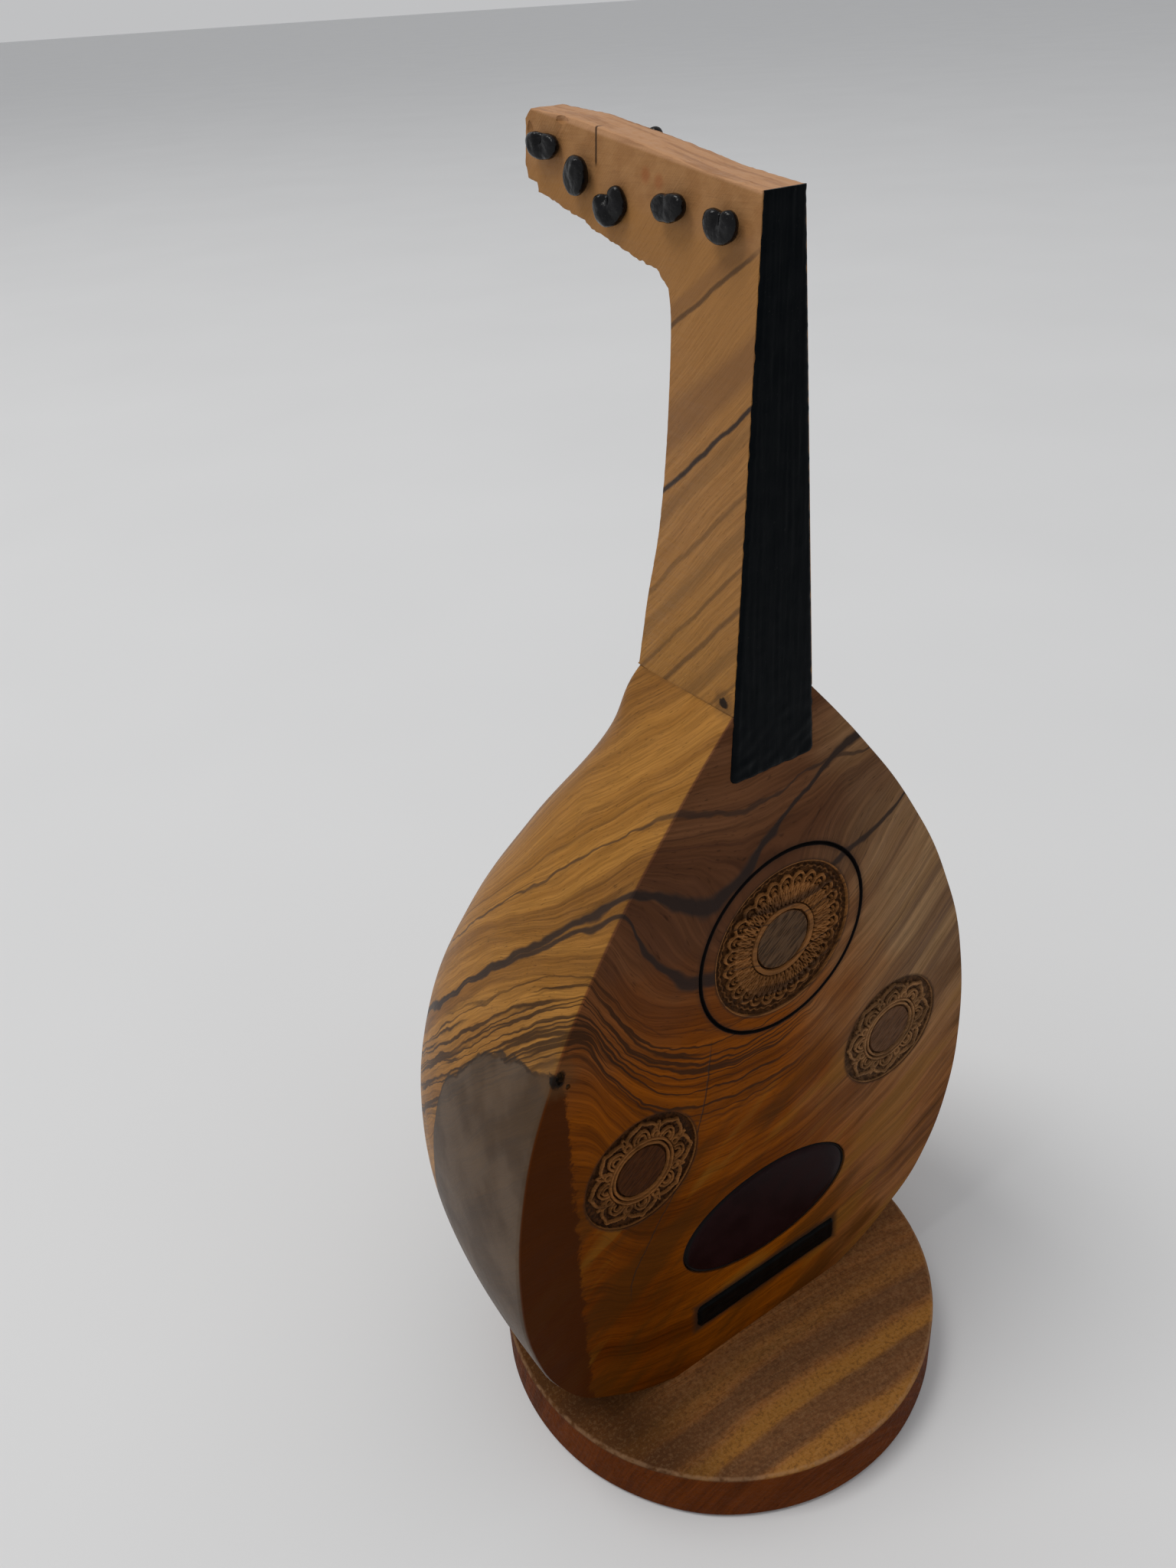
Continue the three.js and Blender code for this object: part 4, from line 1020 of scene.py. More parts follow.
def thick_black(name, sheen, blue):
    """Thick black paint with long brush ridges, duller where it was worked."""
    material, tree, shader, place = bare_material(name)
    brushed = add(tree, "ShaderNodeMapping", {"Vector": place, "Scale": sheen}).outputs[0]
    ridges = speckle(tree, brushed, 1.0, 4.0, 0.6)
    blot = speckle(tree, place, 0.5, 3.0)
    dust = speckle(tree, place, 4.0, 2.0, 0.7)
    colour = tint(tree, fade(tree, blot, 0.35, 0.65), (0.0008, 0.0008 + blue / 2, 0.0008 + blue), (0.0022, 0.0022 + blue / 2, 0.0022 + blue))
    colour = tint(tree, fade(tree, dust, 0.68, 0.8, 0.0, 0.25), colour, (0.06, 0.057, 0.054))
    tree.links.new(colour, shader.inputs["Base Color"])
    tree.links.new(fade(tree, ridges, 0.3, 0.7, 0.3, 0.5), shader.inputs["Roughness"])
    shader.inputs["Specular IOR Level"].default_value = 0.04
    bump(tree, shader, calc(tree, "ADD", ridges, calc(tree, "MULTIPLY", dust, 0.2)), 0.35, 0.00012)
    return material


def painted_sheet(name, columns, rows, edge, face, material):
    """A closed thin skin of paint: edge(v) gives its left and right, face(u, v) its height off the wood."""
    points, faces = [], []
    for depth in (False, True):
        for k in range(rows + 1):
            v = k / rows
            left, right, height = edge(v)
            for i in range(columns + 1):
                u = i / columns
                x = left + (right - left) * u
                thick = 0.004 if depth else face(u, v)
                points.append((x, FRONT_Y - thick, height(u) + FOOT_TOP))
    wide = columns + 1
    layer = wide * (rows + 1)
    for k in range(rows):
        for i in range(columns):
            a = k * wide + i
            faces.append((a, a + 1, a + wide + 1, a + wide))
            faces.append((a + layer, a + layer + wide, a + layer + wide + 1, a + layer + 1))
    around = [i for i in range(wide)] + [k * wide + columns for k in range(1, rows + 1)]
    around += [rows * wide + i for i in range(columns - 1, -1, -1)] + [k * wide for k in range(rows - 1, 0, -1)]
    for a, b in zip(around, around[1:] + around[:1]):
        faces.append((b, a, a + layer, b + layer))
    return place_mesh(name, points, faces, material, 55)


def bar_edge(v):
    middle = BAR_HEIGHT - BAR_HALF[1] + 2 * BAR_HALF[1] * v
    ends = BAR_HALF[0] - 0.5 * (abs(2 * v - 1) ** 6)
    shake = 0.12 * noise.noise(Vector((v * 6, 1.0, 0.0)))

    def height(u):
        return middle + 0.1 * noise.noise(Vector((u * 14, round(v), 5.0))) * abs(2 * v - 1)

    return BAR_X - ends + shake, BAR_X + ends + shake * 0.7, height


def bar_face(u, v):
    border = min(min(u, 1 - u) * 2 * BAR_HALF[0], min(v, 1 - v) * 2 * BAR_HALF[1])
    skin = 0.34 * min(1.0, math.sqrt(max(0.0, border) / 0.45)) + 0.02
    return min(0.39, skin + 0.045 * noise.noise(Vector((u * 9, v * 5, 2.0))) * (border > 0.1))


bar = painted_sheet("bridge_bar_paint", 160, 36, bar_edge, bar_face, thick_black("bar black", (0.25, 1.0, 2.4), 0.0))
fix_to(bar, "oud", ["bridge_bar"])

# ---------------------------------------------------------------------------
# Neck dowel
# A plain peg of pale hardwood, glued across the joint of body and neck, out of sight.
# ---------------------------------------------------------------------------


def dowel_wood():
    material, tree, shader, place = bare_material("dowel wood")
    grain = add(tree, "ShaderNodeMapping", {"Vector": place, "Scale": (2.4, 2.4, 0.15)}).outputs[0]
    fibre = speckle(tree, grain, 1.0, 3.0, 0.6)
    colour = tint(tree, fade(tree, fibre, 0.3, 0.7), (0.56, 0.4, 0.23), (0.4, 0.26, 0.13))
    tree.links.new(colour, shader.inputs["Base Color"])
    tree.links.new(fade(tree, fibre, 0.3, 0.7, 0.55, 0.75), shader.inputs["Roughness"])
    bump(tree, shader, fibre, 0.3, 0.0002)
    return material


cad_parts["neck_dowel"].material_slots[0].material = dowel_wood()

# ---------------------------------------------------------------------------
# Neck and head
# One L-shaped board sawn from the same olive wood, its two sides planed to a taper.
# The underside of the head keeps its saw marks, and the corners are eased with a knife.
# ---------------------------------------------------------------------------
NUT_HEIGHT = 142.4
HALF_WIDTH_AT_NUT = 2.3
HALF_WIDTH_PER_MM = 0.0625
CORNER_EASE = 0.22
BOARD_BACK = [(15.2, 96), (13.9, 104), (12.4, 111), (11.5, 120), (11.3, 130), (11.8, 133.6)]
HEAD_UNDERSIDE = [(13.6, 134.8), (20.6, 136.5), (27.9, 138.7), (32.4, 139.9)]
HEAD_END = [(32.7, 140.7), (34.2, 141.0), (34.7, 142.2), (34.5, 146.3), (33.6, 147.2)]
HEAD_TOP = [(26, 146.6), (16, 145.0), (7, 143.3)]
SAWN_PITCH = 0.4
PEG_SEATS = {
    -1: [(3.9, 139.7), (10.8, 140.5), (19.6, 139.9), (24.6, 142.0), (30.3, 144.3)],
    1: [(7.2, 139.9), (14.6, 140.7), (21.2, 144.3), (26.9, 142.7), (31.6, 142.9)],
}
PEG_HOLE = (0.65, 1.8)


def half_width_at(height):
    return HALF_WIDTH_AT_NUT + HALF_WIDTH_PER_MM * (NUT_HEIGHT - height)


def smooth_line(points, steps):
    """A curve through the points."""
    line = []
    for i in range(len(points) - 1):
        a, b = Vector(points[max(i - 1, 0)]), Vector(points[i])
        c, d = Vector(points[i + 1]), Vector(points[min(i + 2, len(points) - 1)])
        for k in range(steps):
            t = k / steps
            line.append(0.5 * (2 * b + (c - a) * t + (2 * a - 5 * b + 4 * c - d) * t * t + (3 * b - a - 3 * c + d) * t ** 3))
    return line + [Vector(points[-1])]


def stepped(points, pitch):
    """The points with more put in between, no further apart than the pitch."""
    line = []
    for a, b in zip(points, points[1:]):
        a, b = Vector(a), Vector(b)
        count = max(1, math.ceil((b - a).length / pitch))
        line += [a.lerp(b, k / count) for k in range(count)]
    return line + [Vector(points[-1])]


def head_side():
    """The board seen from the side, round from the joint, with how rough each stretch was left."""
    back = [(p, 0.03) for p in stepped(smooth_line(BOARD_BACK, 8), SAWN_PITCH)]
    under = [(p, 0.2) for p in stepped([BOARD_BACK[-1]] + HEAD_UNDERSIDE, SAWN_PITCH)[1:]]
    end = [(p, 0.1) for p in stepped([HEAD_UNDERSIDE[-1]] + HEAD_END, SAWN_PITCH)[1:]]
    top = [(p, 0.05) for p in stepped([HEAD_END[-1]] + HEAD_TOP + [(0, NUT_HEIGHT)], SAWN_PITCH)[1:]]
    front = [(p, 0.0) for p in stepped([(0, NUT_HEIGHT), (0, BODY_HEIGHT)], 2.0)[1:]]
    joint = [(p, 0.0) for p in stepped([(0, BODY_HEIGHT), BOARD_BACK[0]], 2.0)[1:-1]]
    return back + under + end + top + front + joint


def make_neck(material):
    side = head_side()
    count = len(side)
    shares = [-1, -0.985, -0.93, -0.8, -0.6, -0.4, -0.2, 0, 0.2, 0.4, 0.6, 0.8, 0.93, 0.985, 1]
    points, faces = [], []
    for share in shares:
        for i, (spot, rough) in enumerate(side):
            run = side[(i + 1) % count][0] - side[i - 1][0]
            out = Vector((run.y, -run.x)).normalized()
            saw = noise.noise(Vector((spot.x * 1.3, spot.y * 1.3, share * 0.8)))
            saw += 0.6 * noise.noise(Vector((spot.x * 3.1, spot.y * 3.1, share * 2.6)))
            ease = CORNER_EASE * {1: 1.0, 0.985: 0.35}.get(abs(share), 0.0) * min(1.0, rough * 30)
            place = spot + out * (rough * (saw - 0.5) - ease)
            half = half_width_at(spot.y)
            dent = 0.12 * noise.noise(Vector((spot.x * 0.6, spot.y * 0.6, 7.0 + share))) * (rough > 0.05)
            points.append((share * half - math.copysign(abs(dent), share) * (abs(share) > 0.9), place.x + FRONT_Y, place.y + FOOT_TOP))
    for k in range(len(shares) - 1):
        for i in range(count):
            j = (i + 1) % count
            faces.append((k * count + i, k * count + j, (k + 1) * count + j, (k + 1) * count + i))
    faces.append(tuple(reversed(range(count))))
    faces.append(tuple((len(shares) - 1) * count + i for i in range(count)))
    return place_mesh("carved_neck", points, faces, material, 42)


def neck_cutters():
    """Peg holes, the dowel's hole, and splinters lost round the last peg and near the tip."""
    parts = []
    for side, seats in PEG_SEATS.items():
        for back, height in seats:
            start = half_width_at(height) - PEG_HOLE[1]
            points, faces = turned([(0, start), (PEG_HOLE[0], start), (PEG_HOLE[0], start + 4), (0, start + 4)], 24, (0, 0))
            parts.append(([(side * h, back + FRONT_Y + a, height + FOOT_TOP + b) for a, b, h in points], faces))
    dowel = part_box("neck_dowel")
    centre = (0, (dowel[0].y + dowel[1].y) / 2 / MM)
    radius = dowel[1].x / MM + 0.05
    base = FOOT_TOP + BODY_HEIGHT
    parts.append(turned([(0, base - 2), (radius, base - 2), (radius, dowel[1].z / MM + 0.3), (0, dowel[1].z / MM + 0.3)], 28, centre))
    half = half_width_at(145)
    parts.append(pit((-half, FRONT_Y + 28.2, FOOT_TOP + 146.4), (0.35, 1.1, 0.4), 5.0))
    parts.append(pit((-half, FRONT_Y + 33.6, FOOT_TOP + 145.2), (0.4, 0.5, 0.9), 8.0))
    parts.append(pit((-half_width_at(138), FRONT_Y + 25.4, FOOT_TOP + 138.0), (0.3, 1.2, 0.35), 2.0))
    return joined(parts)


# lines down the neck: where each would meet the front, its half width, its strength and its colour
NECK_LINES = [
    (139.2, 1.3, 0.45, (0.17, 0.08, 0.034)), (138.1, 0.4, 0.75, (0.06, 0.032, 0.018)), (129.6, 3.0, 0.6, (0.17, 0.08, 0.034)),
    (125.3, 0.42, 0.95, (0.03, 0.021, 0.018)), (123.4, 1.4, 0.4, (0.16, 0.08, 0.03)), (118.0, 0.5, 0.5, (0.1, 0.05, 0.02)),
    (114.6, 1.3, 0.45, (0.16, 0.08, 0.03)), (111.0, 0.45, 0.55, (0.09, 0.045, 0.02)), (107.0, 0.6, 0.6, (0.07, 0.036, 0.02)),
    (103.0, 1.5, 0.4, (0.15, 0.075, 0.03)), (99.5, 0.4, 0.5, (0.09, 0.045, 0.02)),
]


def neck_wood():
    """Paler than the body, its lines running down and back, with pinkish end grain on the head."""
    material, tree, shader, place = bare_material("neck wood")
    figure = add(tree, "ShaderNodeGroup", node_tree=OLIVE)
    for key, value in {
        "Lean": (0.0, 1.1, 1.0), "Bend": 0.03, "Bend centre": 0.0, "Spacing": 2.3, "Wander": 0.4,
        "Veins": 0.28, "Bands": 0.3, "Pale": (0.36, 0.175, 0.056, 1), "Mid": (0.3, 0.138, 0.042, 1),
        "Grey": (0.21, 0.1, 0.04, 1), "Vein colour": (0.08, 0.04, 0.018, 1),
    }.items():
        figure.inputs[key].default_value = value
    tree.links.new(place, figure.inputs["Place"])
    split = add(tree, "ShaderNodeSeparateXYZ", {0: place})
    deep = calc(tree, "SUBTRACT", split.outputs[1], FRONT_Y)
    up = calc(tree, "SUBTRACT", split.outputs[2], FOOT_TOP)
    wave = calc(tree, "MULTIPLY", calc(tree, "SUBTRACT", speckle(tree, place, 0.25, 3.0), 0.5), 0.9)
    flatter = fade(tree, calc(tree, "MULTIPLY_ADD", deep, 0.85, up), 110.0, 140.0, 1.03, 0.68)
    slant = calc(tree, "ADD", calc(tree, "MULTIPLY_ADD", deep, flatter, up), wave)
    colour = tint(tree, fade(tree, up, 120.0, 137.0, 0.3, 0.8), figure.outputs["Colour"], (0.32, 0.152, 0.047))
    for middle, half, strength, stain in NECK_LINES:
        gap = calc(tree, "ABSOLUTE", calc(tree, "SUBTRACT", slant, middle))
        colour = tint(tree, fade(tree, gap, half * 0.3, half, strength, 0.0), colour, stain)
    on_head = fade(tree, calc(tree, "SUBTRACT", up, calc(tree, "MULTIPLY", deep, 0.14)), 136.4, 138.6)
    rosy = tint(tree, fade(tree, speckle(tree, place, 0.5, 2.0), 0.35, 0.65), (0.35, 0.18, 0.075), (0.29, 0.14, 0.055))
    colour = tint(tree, calc(tree, "MULTIPLY", on_head, 0.75), colour, rosy)
    on_top = fade(tree, calc(tree, "SUBTRACT", up, calc(tree, "MULTIPLY", deep, 0.15)), 141.9, 142.25)
    colour = tint(tree, calc(tree, "MULTIPLY", on_top, 0.8), colour, (0.5, 0.27, 0.14))
    drawn = add(tree, "ShaderNodeMapping", {"Vector": place, "Scale": (1.5, 0.07, 0.5)}).outputs[0]
    streaks = fade(tree, speckle(tree, drawn, 1.0, 3.0, 0.6), 0.46, 0.62, 0.0, 0.5)
    colour = tint(tree, calc(tree, "MULTIPLY", streaks, on_top), colour, (0.24, 0.11, 0.05))
    coarse = add(tree, "ShaderNodeMapping", {"Vector": place, "Scale": (2.2, 0.3, 2.6)}).outputs[0]
    end_grain = speckle(tree, coarse, 1.0, 4.0, 0.65)
    dirt = calc(tree, "MULTIPLY", fade(tree, end_grain, 0.55, 0.7), on_head)
    colour = tint(tree, calc(tree, "MULTIPLY", dirt, 0.2), colour, (0.2, 0.09, 0.04))
    on_left = fade(tree, split.outputs[0], -1.0, -1.8)
    for back, height in ((13.4, 142.1), (15.3, 142.5)):
        spot = (-half_width_at(height), back + FRONT_Y, height + FOOT_TOP)
        near = add(tree, "ShaderNodeVectorMath", {0: place, 1: spot}, operation="DISTANCE").outputs["Value"]
        colour = tint(tree, fade(tree, near, 0.25, 0.95, 0.55, 0.0), colour, (0.27, 0.08, 0.024))
    split_gap = calc(tree, "ABSOLUTE", calc(tree, "ADD", calc(tree, "SUBTRACT", deep, 22.7), calc(tree, "MULTIPLY", wave, 0.25)))
    split_line = calc(tree, "MULTIPLY", fade(tree, split_gap, 0.08, 0.2, 0.9, 0.0), on_left)
    split_line = calc(tree, "MULTIPLY", split_line, fade(tree, up, 142.6, 143.2))
    colour = tint(tree, split_line, colour, (0.03, 0.015, 0.008))
    golden = tint(tree, fade(tree, up, 116.0, 97.0, 0.0, 0.85), (1.0, 1.0, 1.0), (1.0, 0.98, 0.72))
    colour = tint(tree, 1.0, colour, golden, "MULTIPLY")
    glue = fade(tree, up, BODY_HEIGHT + 0.25, BODY_HEIGHT + 0.05)
    colour = tint(tree, calc(tree, "MULTIPLY", glue, 0.16), colour, (0.06, 0.035, 0.02))
    colour = knotted(tree, place, colour, RIDGE_KNOT, 0.9)
    tree.links.new(colour, shader.inputs["Base Color"])
    tree.links.new(fade(tree, end_grain, 0.3, 0.7, 0.4, 0.6), shader.inputs["Roughness"])
    shader.inputs["Specular IOR Level"].default_value = 0.09
    height = calc(tree, "ADD", figure.outputs["Height"], calc(tree, "MULTIPLY", calc(tree, "MULTIPLY", end_grain, on_head), 0.8))
    bump(tree, shader, height, 0.3, 0.00025)
    return material


NECK_WOOD = neck_wood()
neck = cut_away(make_neck(NECK_WOOD), place_mesh("holes", *neck_cutters(), NECK_WOOD))
mend(neck)
finish_surface(neck, NECK_WOOD, 42)
fix_to(neck, "oud", ["neck_and_head"])

# ---------------------------------------------------------------------------
# Fingerboard
# A long strip of thick black paint down the neck and on to the front.
# Brush ridges run along it, its edges wander, and it has wrinkled at the lower end.
# ---------------------------------------------------------------------------
STRIP_END = 88.3
STRIP_CORNER = 0.9


def strip_edge(v):
    height = STRIP_END + (NUT_HEIGHT - STRIP_END) * v
    rounded = 0.0
    above = height - STRIP_END
    if above < STRIP_CORNER:
        rounded = STRIP_CORNER - math.sqrt(max(0.0, STRIP_CORNER ** 2 - (STRIP_CORNER - above) ** 2))
    left = 0.13 * noise.noise(Vector((height * 1.1, 0.0, 1.0))) + 0.09
    right = 0.13 * noise.noise(Vector((height * 1.1, 0.0, 9.0))) + 0.09

    def level(u):
        near_end = max(0.0, 1 - above / 3)
        return height + 0.18 * near_end * noise.noise(Vector((u * 7, 3.0, 0.0)))

    half = half_width_at(height)
    return -half + rounded + left, half - rounded - right, level


def strip_face(u, v):
    height = STRIP_END + (NUT_HEIGHT - STRIP_END) * v
    x = (2 * u - 1) * half_width_at(height)
    border = min(min(u, 1 - u) * 2 * half_width_at(height), height - STRIP_END + 0.02, NUT_HEIGHT - height + 0.3)
    brush = 0.035 * noise.noise(Vector((x * 2.4, height * 0.12, 0.0)))
    brush += 0.015 * noise.noise(Vector((x * 6.0, height * 0.3, 4.0)))
    crease = max(0.0, 1 - (height - STRIP_END) / 10) * 0.13 * noise.noise(Vector((x * 0.3 + height * 0.45, height * 0.7 - x * 0.5, 6.0)))
    body = 0.27 * min(1.0, math.sqrt(max(0.0, border) / 0.35)) + 0.03
    return min(0.39, max(0.03, body + (brush + crease) * (border > 0.15)))


strip = painted_sheet("fingerboard_paint", 48, 420, strip_edge, strip_face, thick_black("fingerboard black", (1.1, 1.0, 0.12), 0.002))
fix_to(strip, "oud", ["fingerboard"])

# ---------------------------------------------------------------------------
# Pegs
# Ten short hand-carved pegs, five a side, each with a round shank and a notched pad for a head.
# They were dipped in glossy black, which softened every edge; no two are quite alike.
# ---------------------------------------------------------------------------
PEG_SECTION = [
    (0.0, -1.5), (0.6, -1.5), (0.6, -1.0), (0.6, -0.3), (0.6, 0.3), (0.85, 0.35), (1.2, 0.4), (1.45, 0.52),
    (1.6, 0.75), (1.65, 1.0), (1.6, 1.25), (1.45, 1.42), (1.2, 1.53), (0.8, 1.57), (0.4, 1.58), (0.0, 1.58),
]


def peg_tree():
    """A peg as one sheet wrapped round its axis, with a notch and a valley pressed into the head."""
    tree, given, result = new_group(
        "carved peg",
        {
            "Side": ("NodeSocketFloat", -1.0),
            "Seat": ("NodeSocketVector", None),
            "Turn": ("NodeSocketFloat", 0.0),
            "Notch": ("NodeSocketFloat", 0.4),
            "Valley": ("NodeSocketFloat", 0.25),
            "Across": ("NodeSocketFloat", 1.0),
            "Tall": ("NodeSocketFloat", 1.0),
            "Lift": ("NodeSocketFloat", 0.0),
            "Seed": ("NodeSocketFloat", 0.0),
            "Black": ("NodeSocketMaterial", None),
        },
        {"Geometry": "NodeSocketGeometry"},
        "GeometryNodeTree",
    )
    grid = add(tree, "GeometryNodeMeshGrid", {"Size X": 1.0, "Size Y": 1.0, "Vertices X": 73, "Vertices Y": 61})
    spot = add(tree, "ShaderNodeSeparateXYZ", {0: add(tree, "GeometryNodeInputPosition").outputs[0]})
    around = calc(tree, "ADD", spot.outputs[0], 0.5, clamp=True)
    along = calc(tree, "ADD", spot.outputs[1], 0.5, clamp=True)
    last = len(PEG_SECTION) - 1
    radius = curve_of(tree, [(i, r) for i, (r, _) in enumerate(PEG_SECTION)], 2.0, along)
    radius = calc(tree, "MULTIPLY", radius, 2.0)
    rise = curve_of(tree, [(i, h + 1.5) for i, (_, h) in enumerate(PEG_SECTION)], 4.0, along)
    rise = calc(tree, "MULTIPLY_ADD", rise, 4.0, -1.5)
    in_head = fade(tree, along, 4.2 / last, 6.2 / last)
    angle = calc(tree, "MULTIPLY", calc(tree, "SUBTRACT", around, 0.5), 2 * math.pi)
    notch_width = calc(tree, "POWER", calc(tree, "DIVIDE", angle, 0.5), 2.0)
    notch = calc(tree, "EXPONENT", calc(tree, "MULTIPLY", notch_width, -1.0))
    notch = calc(tree, "MULTIPLY", calc(tree, "MULTIPLY", notch, given.outputs["Notch"]), in_head)
    point = calc(tree, "MULTIPLY", calc(tree, "SUBTRACT", 1.0, calc(tree, "COSINE", calc(tree, "MULTIPLY", angle, 2.0))), 0.05)
    shrink = calc(tree, "SUBTRACT", calc(tree, "SUBTRACT", 1.0, notch), calc(tree, "MULTIPLY", point, in_head))
    out = calc(tree, "MULTIPLY", radius, shrink)
    a = calc(tree, "MULTIPLY", out, calc(tree, "SINE", angle))
    b = calc(tree, "MULTIPLY", out, calc(tree, "COSINE", angle))
    widen = calc(tree, "MULTIPLY_ADD", calc(tree, "SUBTRACT", given.outputs["Across"], 1.0), in_head, 1.0)
    heighten = calc(tree, "MULTIPLY_ADD", calc(tree, "SUBTRACT", given.outputs["Tall"], 1.0), in_head, 1.0)
    a = calc(tree, "MULTIPLY", a, widen)
    b = calc(tree, "MULTIPLY", b, heighten)
    valley_wide = calc(tree, "POWER", calc(tree, "DIVIDE", a, 0.38), 2.0)
    valley = calc(tree, "EXPONENT", calc(tree, "MULTIPLY", valley_wide, -1.0))
    valley = calc(tree, "MULTIPLY", valley, fade(tree, b, -0.5, 0.6))
    on_top = fade(tree, along, 8.5 / last, 11.0 / last)
    valley = calc(tree, "MULTIPLY", calc(tree, "MULTIPLY", valley, given.outputs["Valley"]), on_top)
    lobe = calc(tree, "MULTIPLY", calc(tree, "MULTIPLY", fade(tree, a, -0.9, 0.9, -1.0, 0.0), given.outputs["Lift"]), in_head)
    rise = calc(tree, "ADD", calc(tree, "SUBTRACT", rise, valley), lobe)
    cosine = calc(tree, "COSINE", given.outputs["Turn"])
    sine = calc(tree, "SINE", given.outputs["Turn"])
    y = calc(tree, "ADD", calc(tree, "MULTIPLY", a, cosine), calc(tree, "MULTIPLY", b, sine))
    z = calc(tree, "SUBTRACT", calc(tree, "MULTIPLY", b, cosine), calc(tree, "MULTIPLY", a, sine))
    local = add(tree, "ShaderNodeCombineXYZ", {0: calc(tree, "MULTIPLY", rise, given.outputs["Side"]), 1: y, 2: z})
    metres = add(tree, "ShaderNodeVectorMath", {0: local.outputs[0], "Scale": MM}, operation="SCALE")
    placed = add(tree, "ShaderNodeVectorMath", {0: metres.outputs[0], 1: given.outputs["Seat"]}, operation="ADD")
    jitter = add(tree, "ShaderNodeTexNoise", {
        "Vector": metres.outputs[0], "W": given.outputs["Seed"], "Scale": 900.0, "Detail": 1.0}, noise_dimensions="4D")
    jitter = add(tree, "ShaderNodeVectorMath", {0: jitter.outputs["Color"], 1: (0.5, 0.5, 0.5)}, operation="SUBTRACT")
    amount = calc(tree, "MULTIPLY", in_head, 0.00022)
    jitter = add(tree, "ShaderNodeVectorMath", {0: jitter.outputs[0], "Scale": amount}, operation="SCALE")
    moved = add(tree, "GeometryNodeSetPosition", {
        "Geometry": grid.outputs[0], "Position": placed.outputs[0], "Offset": jitter.outputs[0]})
    welded = add(tree, "GeometryNodeMergeByDistance", {"Geometry": moved.outputs[0], "Distance": 4e-6})
    real = add(tree, "GeometryNodeRealizeInstances", {0: welded.outputs[0]})
    dressed = add(tree, "GeometryNodeSetMaterial", {"Geometry": real.outputs[0], "Material": given.outputs["Black"]})
    tree.links.new(dressed.outputs[0], result.inputs[0])
    return tree


def peg_black():
    material, tree, shader, place = bare_material("peg black")
    drip = speckle(tree, place, 0.9, 2.0)
    dust = speckle(tree, place, 5.0, 3.0, 0.7)
    colour = tint(tree, fade(tree, drip, 0.3, 0.7), (0.0012, 0.0012, 0.0016), (0.003, 0.003, 0.004))
    colour = tint(tree, fade(tree, dust, 0.63, 0.74, 0.0, 0.4), colour, (0.1, 0.096, 0.09))
    tree.links.new(colour, shader.inputs["Base Color"])
    tree.links.new(fade(tree, drip, 0.3, 0.7, 0.07, 0.17), shader.inputs["Roughness"])
    shader.inputs["Specular IOR Level"].default_value = 0.2
    bump(tree, shader, calc(tree, "ADD", drip, calc(tree, "MULTIPLY", dust, 0.15)), 0.55, 0.0003)
    return material


# turn, notch, valley, width, height and lift of one lobe, from the nut to the tip
PEG_SHAPES = {
    -1: [(0.0, 0.42, 0.35, 1.35, 0.98, 0.0), (0.1, 0.24, 0.12, 1.45, 0.8, 0.0), (0.4, 0.5, 0.45, 1.3, 1.1, 0.5),
         (-0.45, 0.0, -0.2, 1.05, 1.08, 0.0), (-0.08, 0.24, 0.4, 1.5, 0.8, 0.3)],
    1: [(2.6, 0.4, 0.3, 1.1, 1.0, 0.0), (0.4, 0.3, 0.2, 1.1, 0.9, 0.0), (0.1, 0.42, 0.3, 1.1, 1.05, 0.2),
        (1.3, 0.2, 0.1, 0.9, 1.1, 0.0), (2.9, 0.35, 0.4, 1.2, 0.85, 0.2)],
}
PEG_BLACK = peg_black()
PEG = peg_tree()
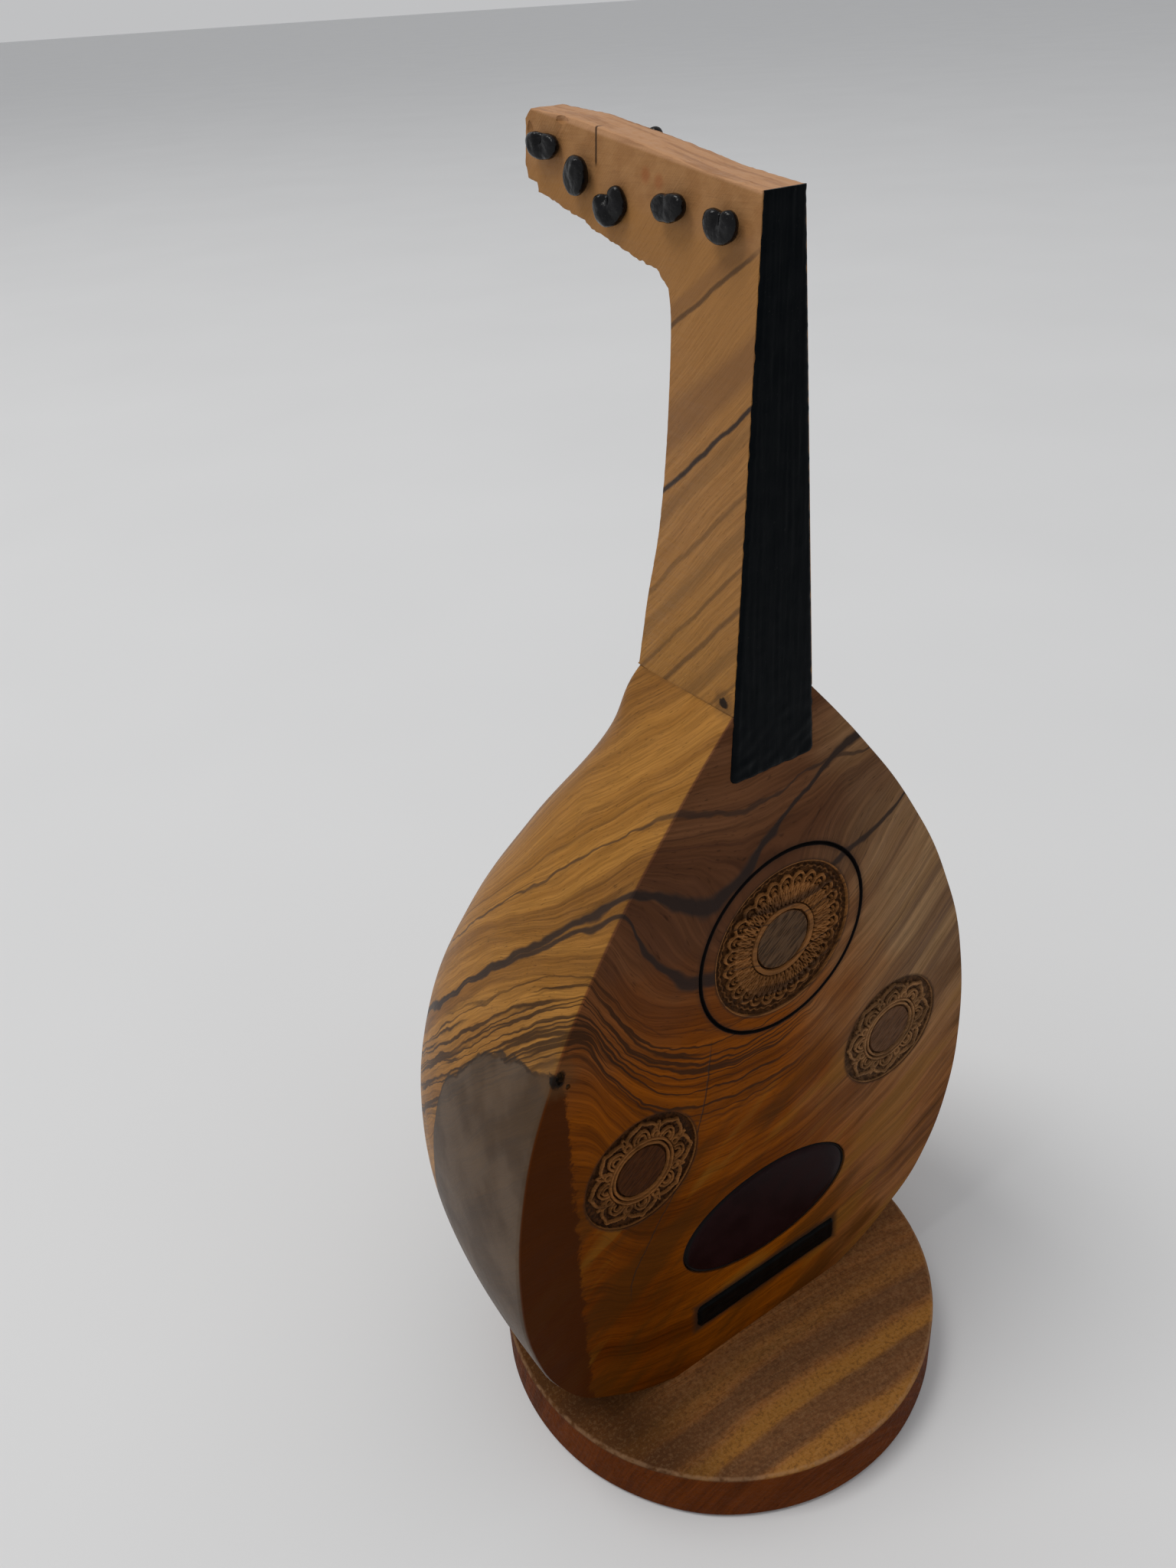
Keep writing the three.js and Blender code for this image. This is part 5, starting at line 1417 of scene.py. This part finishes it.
for side, word in ((-1, "left"), (1, "right")):
    for number, (turn, notch, valley, across, tall, lift) in enumerate(PEG_SHAPES[side], start=1):
        back, height = PEG_SEATS[side][number - 1]
        seat = Vector((side * half_width_at(height), back + FRONT_Y, height + FOOT_TOP)) * MM
        name = f"peg_{word}_{number}"
        carved = mend(grown("carved_" + name, PEG, {
            "Side": float(side), "Seat": seat, "Turn": turn, "Notch": notch, "Valley": valley,
            "Across": across, "Tall": tall, "Lift": lift, "Seed": number + 0.37 * side, "Black": PEG_BLACK}))
        finish_surface(carved, PEG_BLACK, 60)
        fix_to(carved, name, [name])

# ---------------------------------------------------------------------------
# Room
# A pale floor in soft studio light: a broad light high on the left and behind, the rest even.
# ---------------------------------------------------------------------------


def pale_floor():
    material, tree, shader, place = bare_material("pale floor")
    cloud = speckle(tree, place, 0.01, 2.0)
    tree.links.new(tint(tree, cloud, (0.69, 0.695, 0.7), (0.73, 0.735, 0.74)), shader.inputs["Base Color"])
    shader.inputs["Roughness"].default_value = 0.85
    shader.inputs["Specular IOR Level"].default_value = 0.2
    return material


def make_floor():
    steps = 64
    reach = 12000
    outline = [(reach * math.cos(2 * math.pi * i / steps), reach * math.sin(2 * math.pi * i / steps), 0) for i in range(steps)]
    floor = place_mesh("floor", outline, [tuple(range(steps))], pale_floor())


def soft_light(name, spot, aim, size, power, colour):
    lamp = bpy.data.lights.new(name, "AREA")
    lamp.shape = "DISK"
    lamp.size = size
    lamp.energy = power
    lamp.color = colour
    holder = bpy.data.objects.new(name, lamp)
    holder.location = spot
    holder.rotation_euler = (Vector(aim) - Vector(spot)).to_track_quat("-Z", "Y").to_euler()
    bpy.context.scene.collection.objects.link(holder)


make_floor()
soft_light("window", (-0.75, 0.3, 1.9), (0, 0, 0.08), 0.9, 18.0, (1.0, 0.985, 0.96))
room = bpy.data.worlds.new("room")
room.use_nodes = True
room.node_tree.nodes["Background"].inputs["Color"].default_value = (0.98, 0.985, 1.0, 1.0)
room.node_tree.nodes["Background"].inputs["Strength"].default_value = 0.54
bpy.context.scene.world = room
bpy.context.scene.view_settings.view_transform = "Standard"
bpy.context.scene.view_settings.look = "None"

lens = bpy.data.cameras.new("camera")
lens.lens = 29.878
lens.sensor_width = 36.0
lens.clip_start = 0.01
lens.clip_end = 100.0
viewer = bpy.data.objects.new("camera", lens)
viewer.location = (-0.077721, -0.095651, 0.165733)
viewer.rotation_euler = [math.radians(a) for a in (58.2539, 3.1388, -35.3491)]
bpy.context.scene.collection.objects.link(viewer)
bpy.context.scene.camera = viewer

bpy.context.view_layer.update()
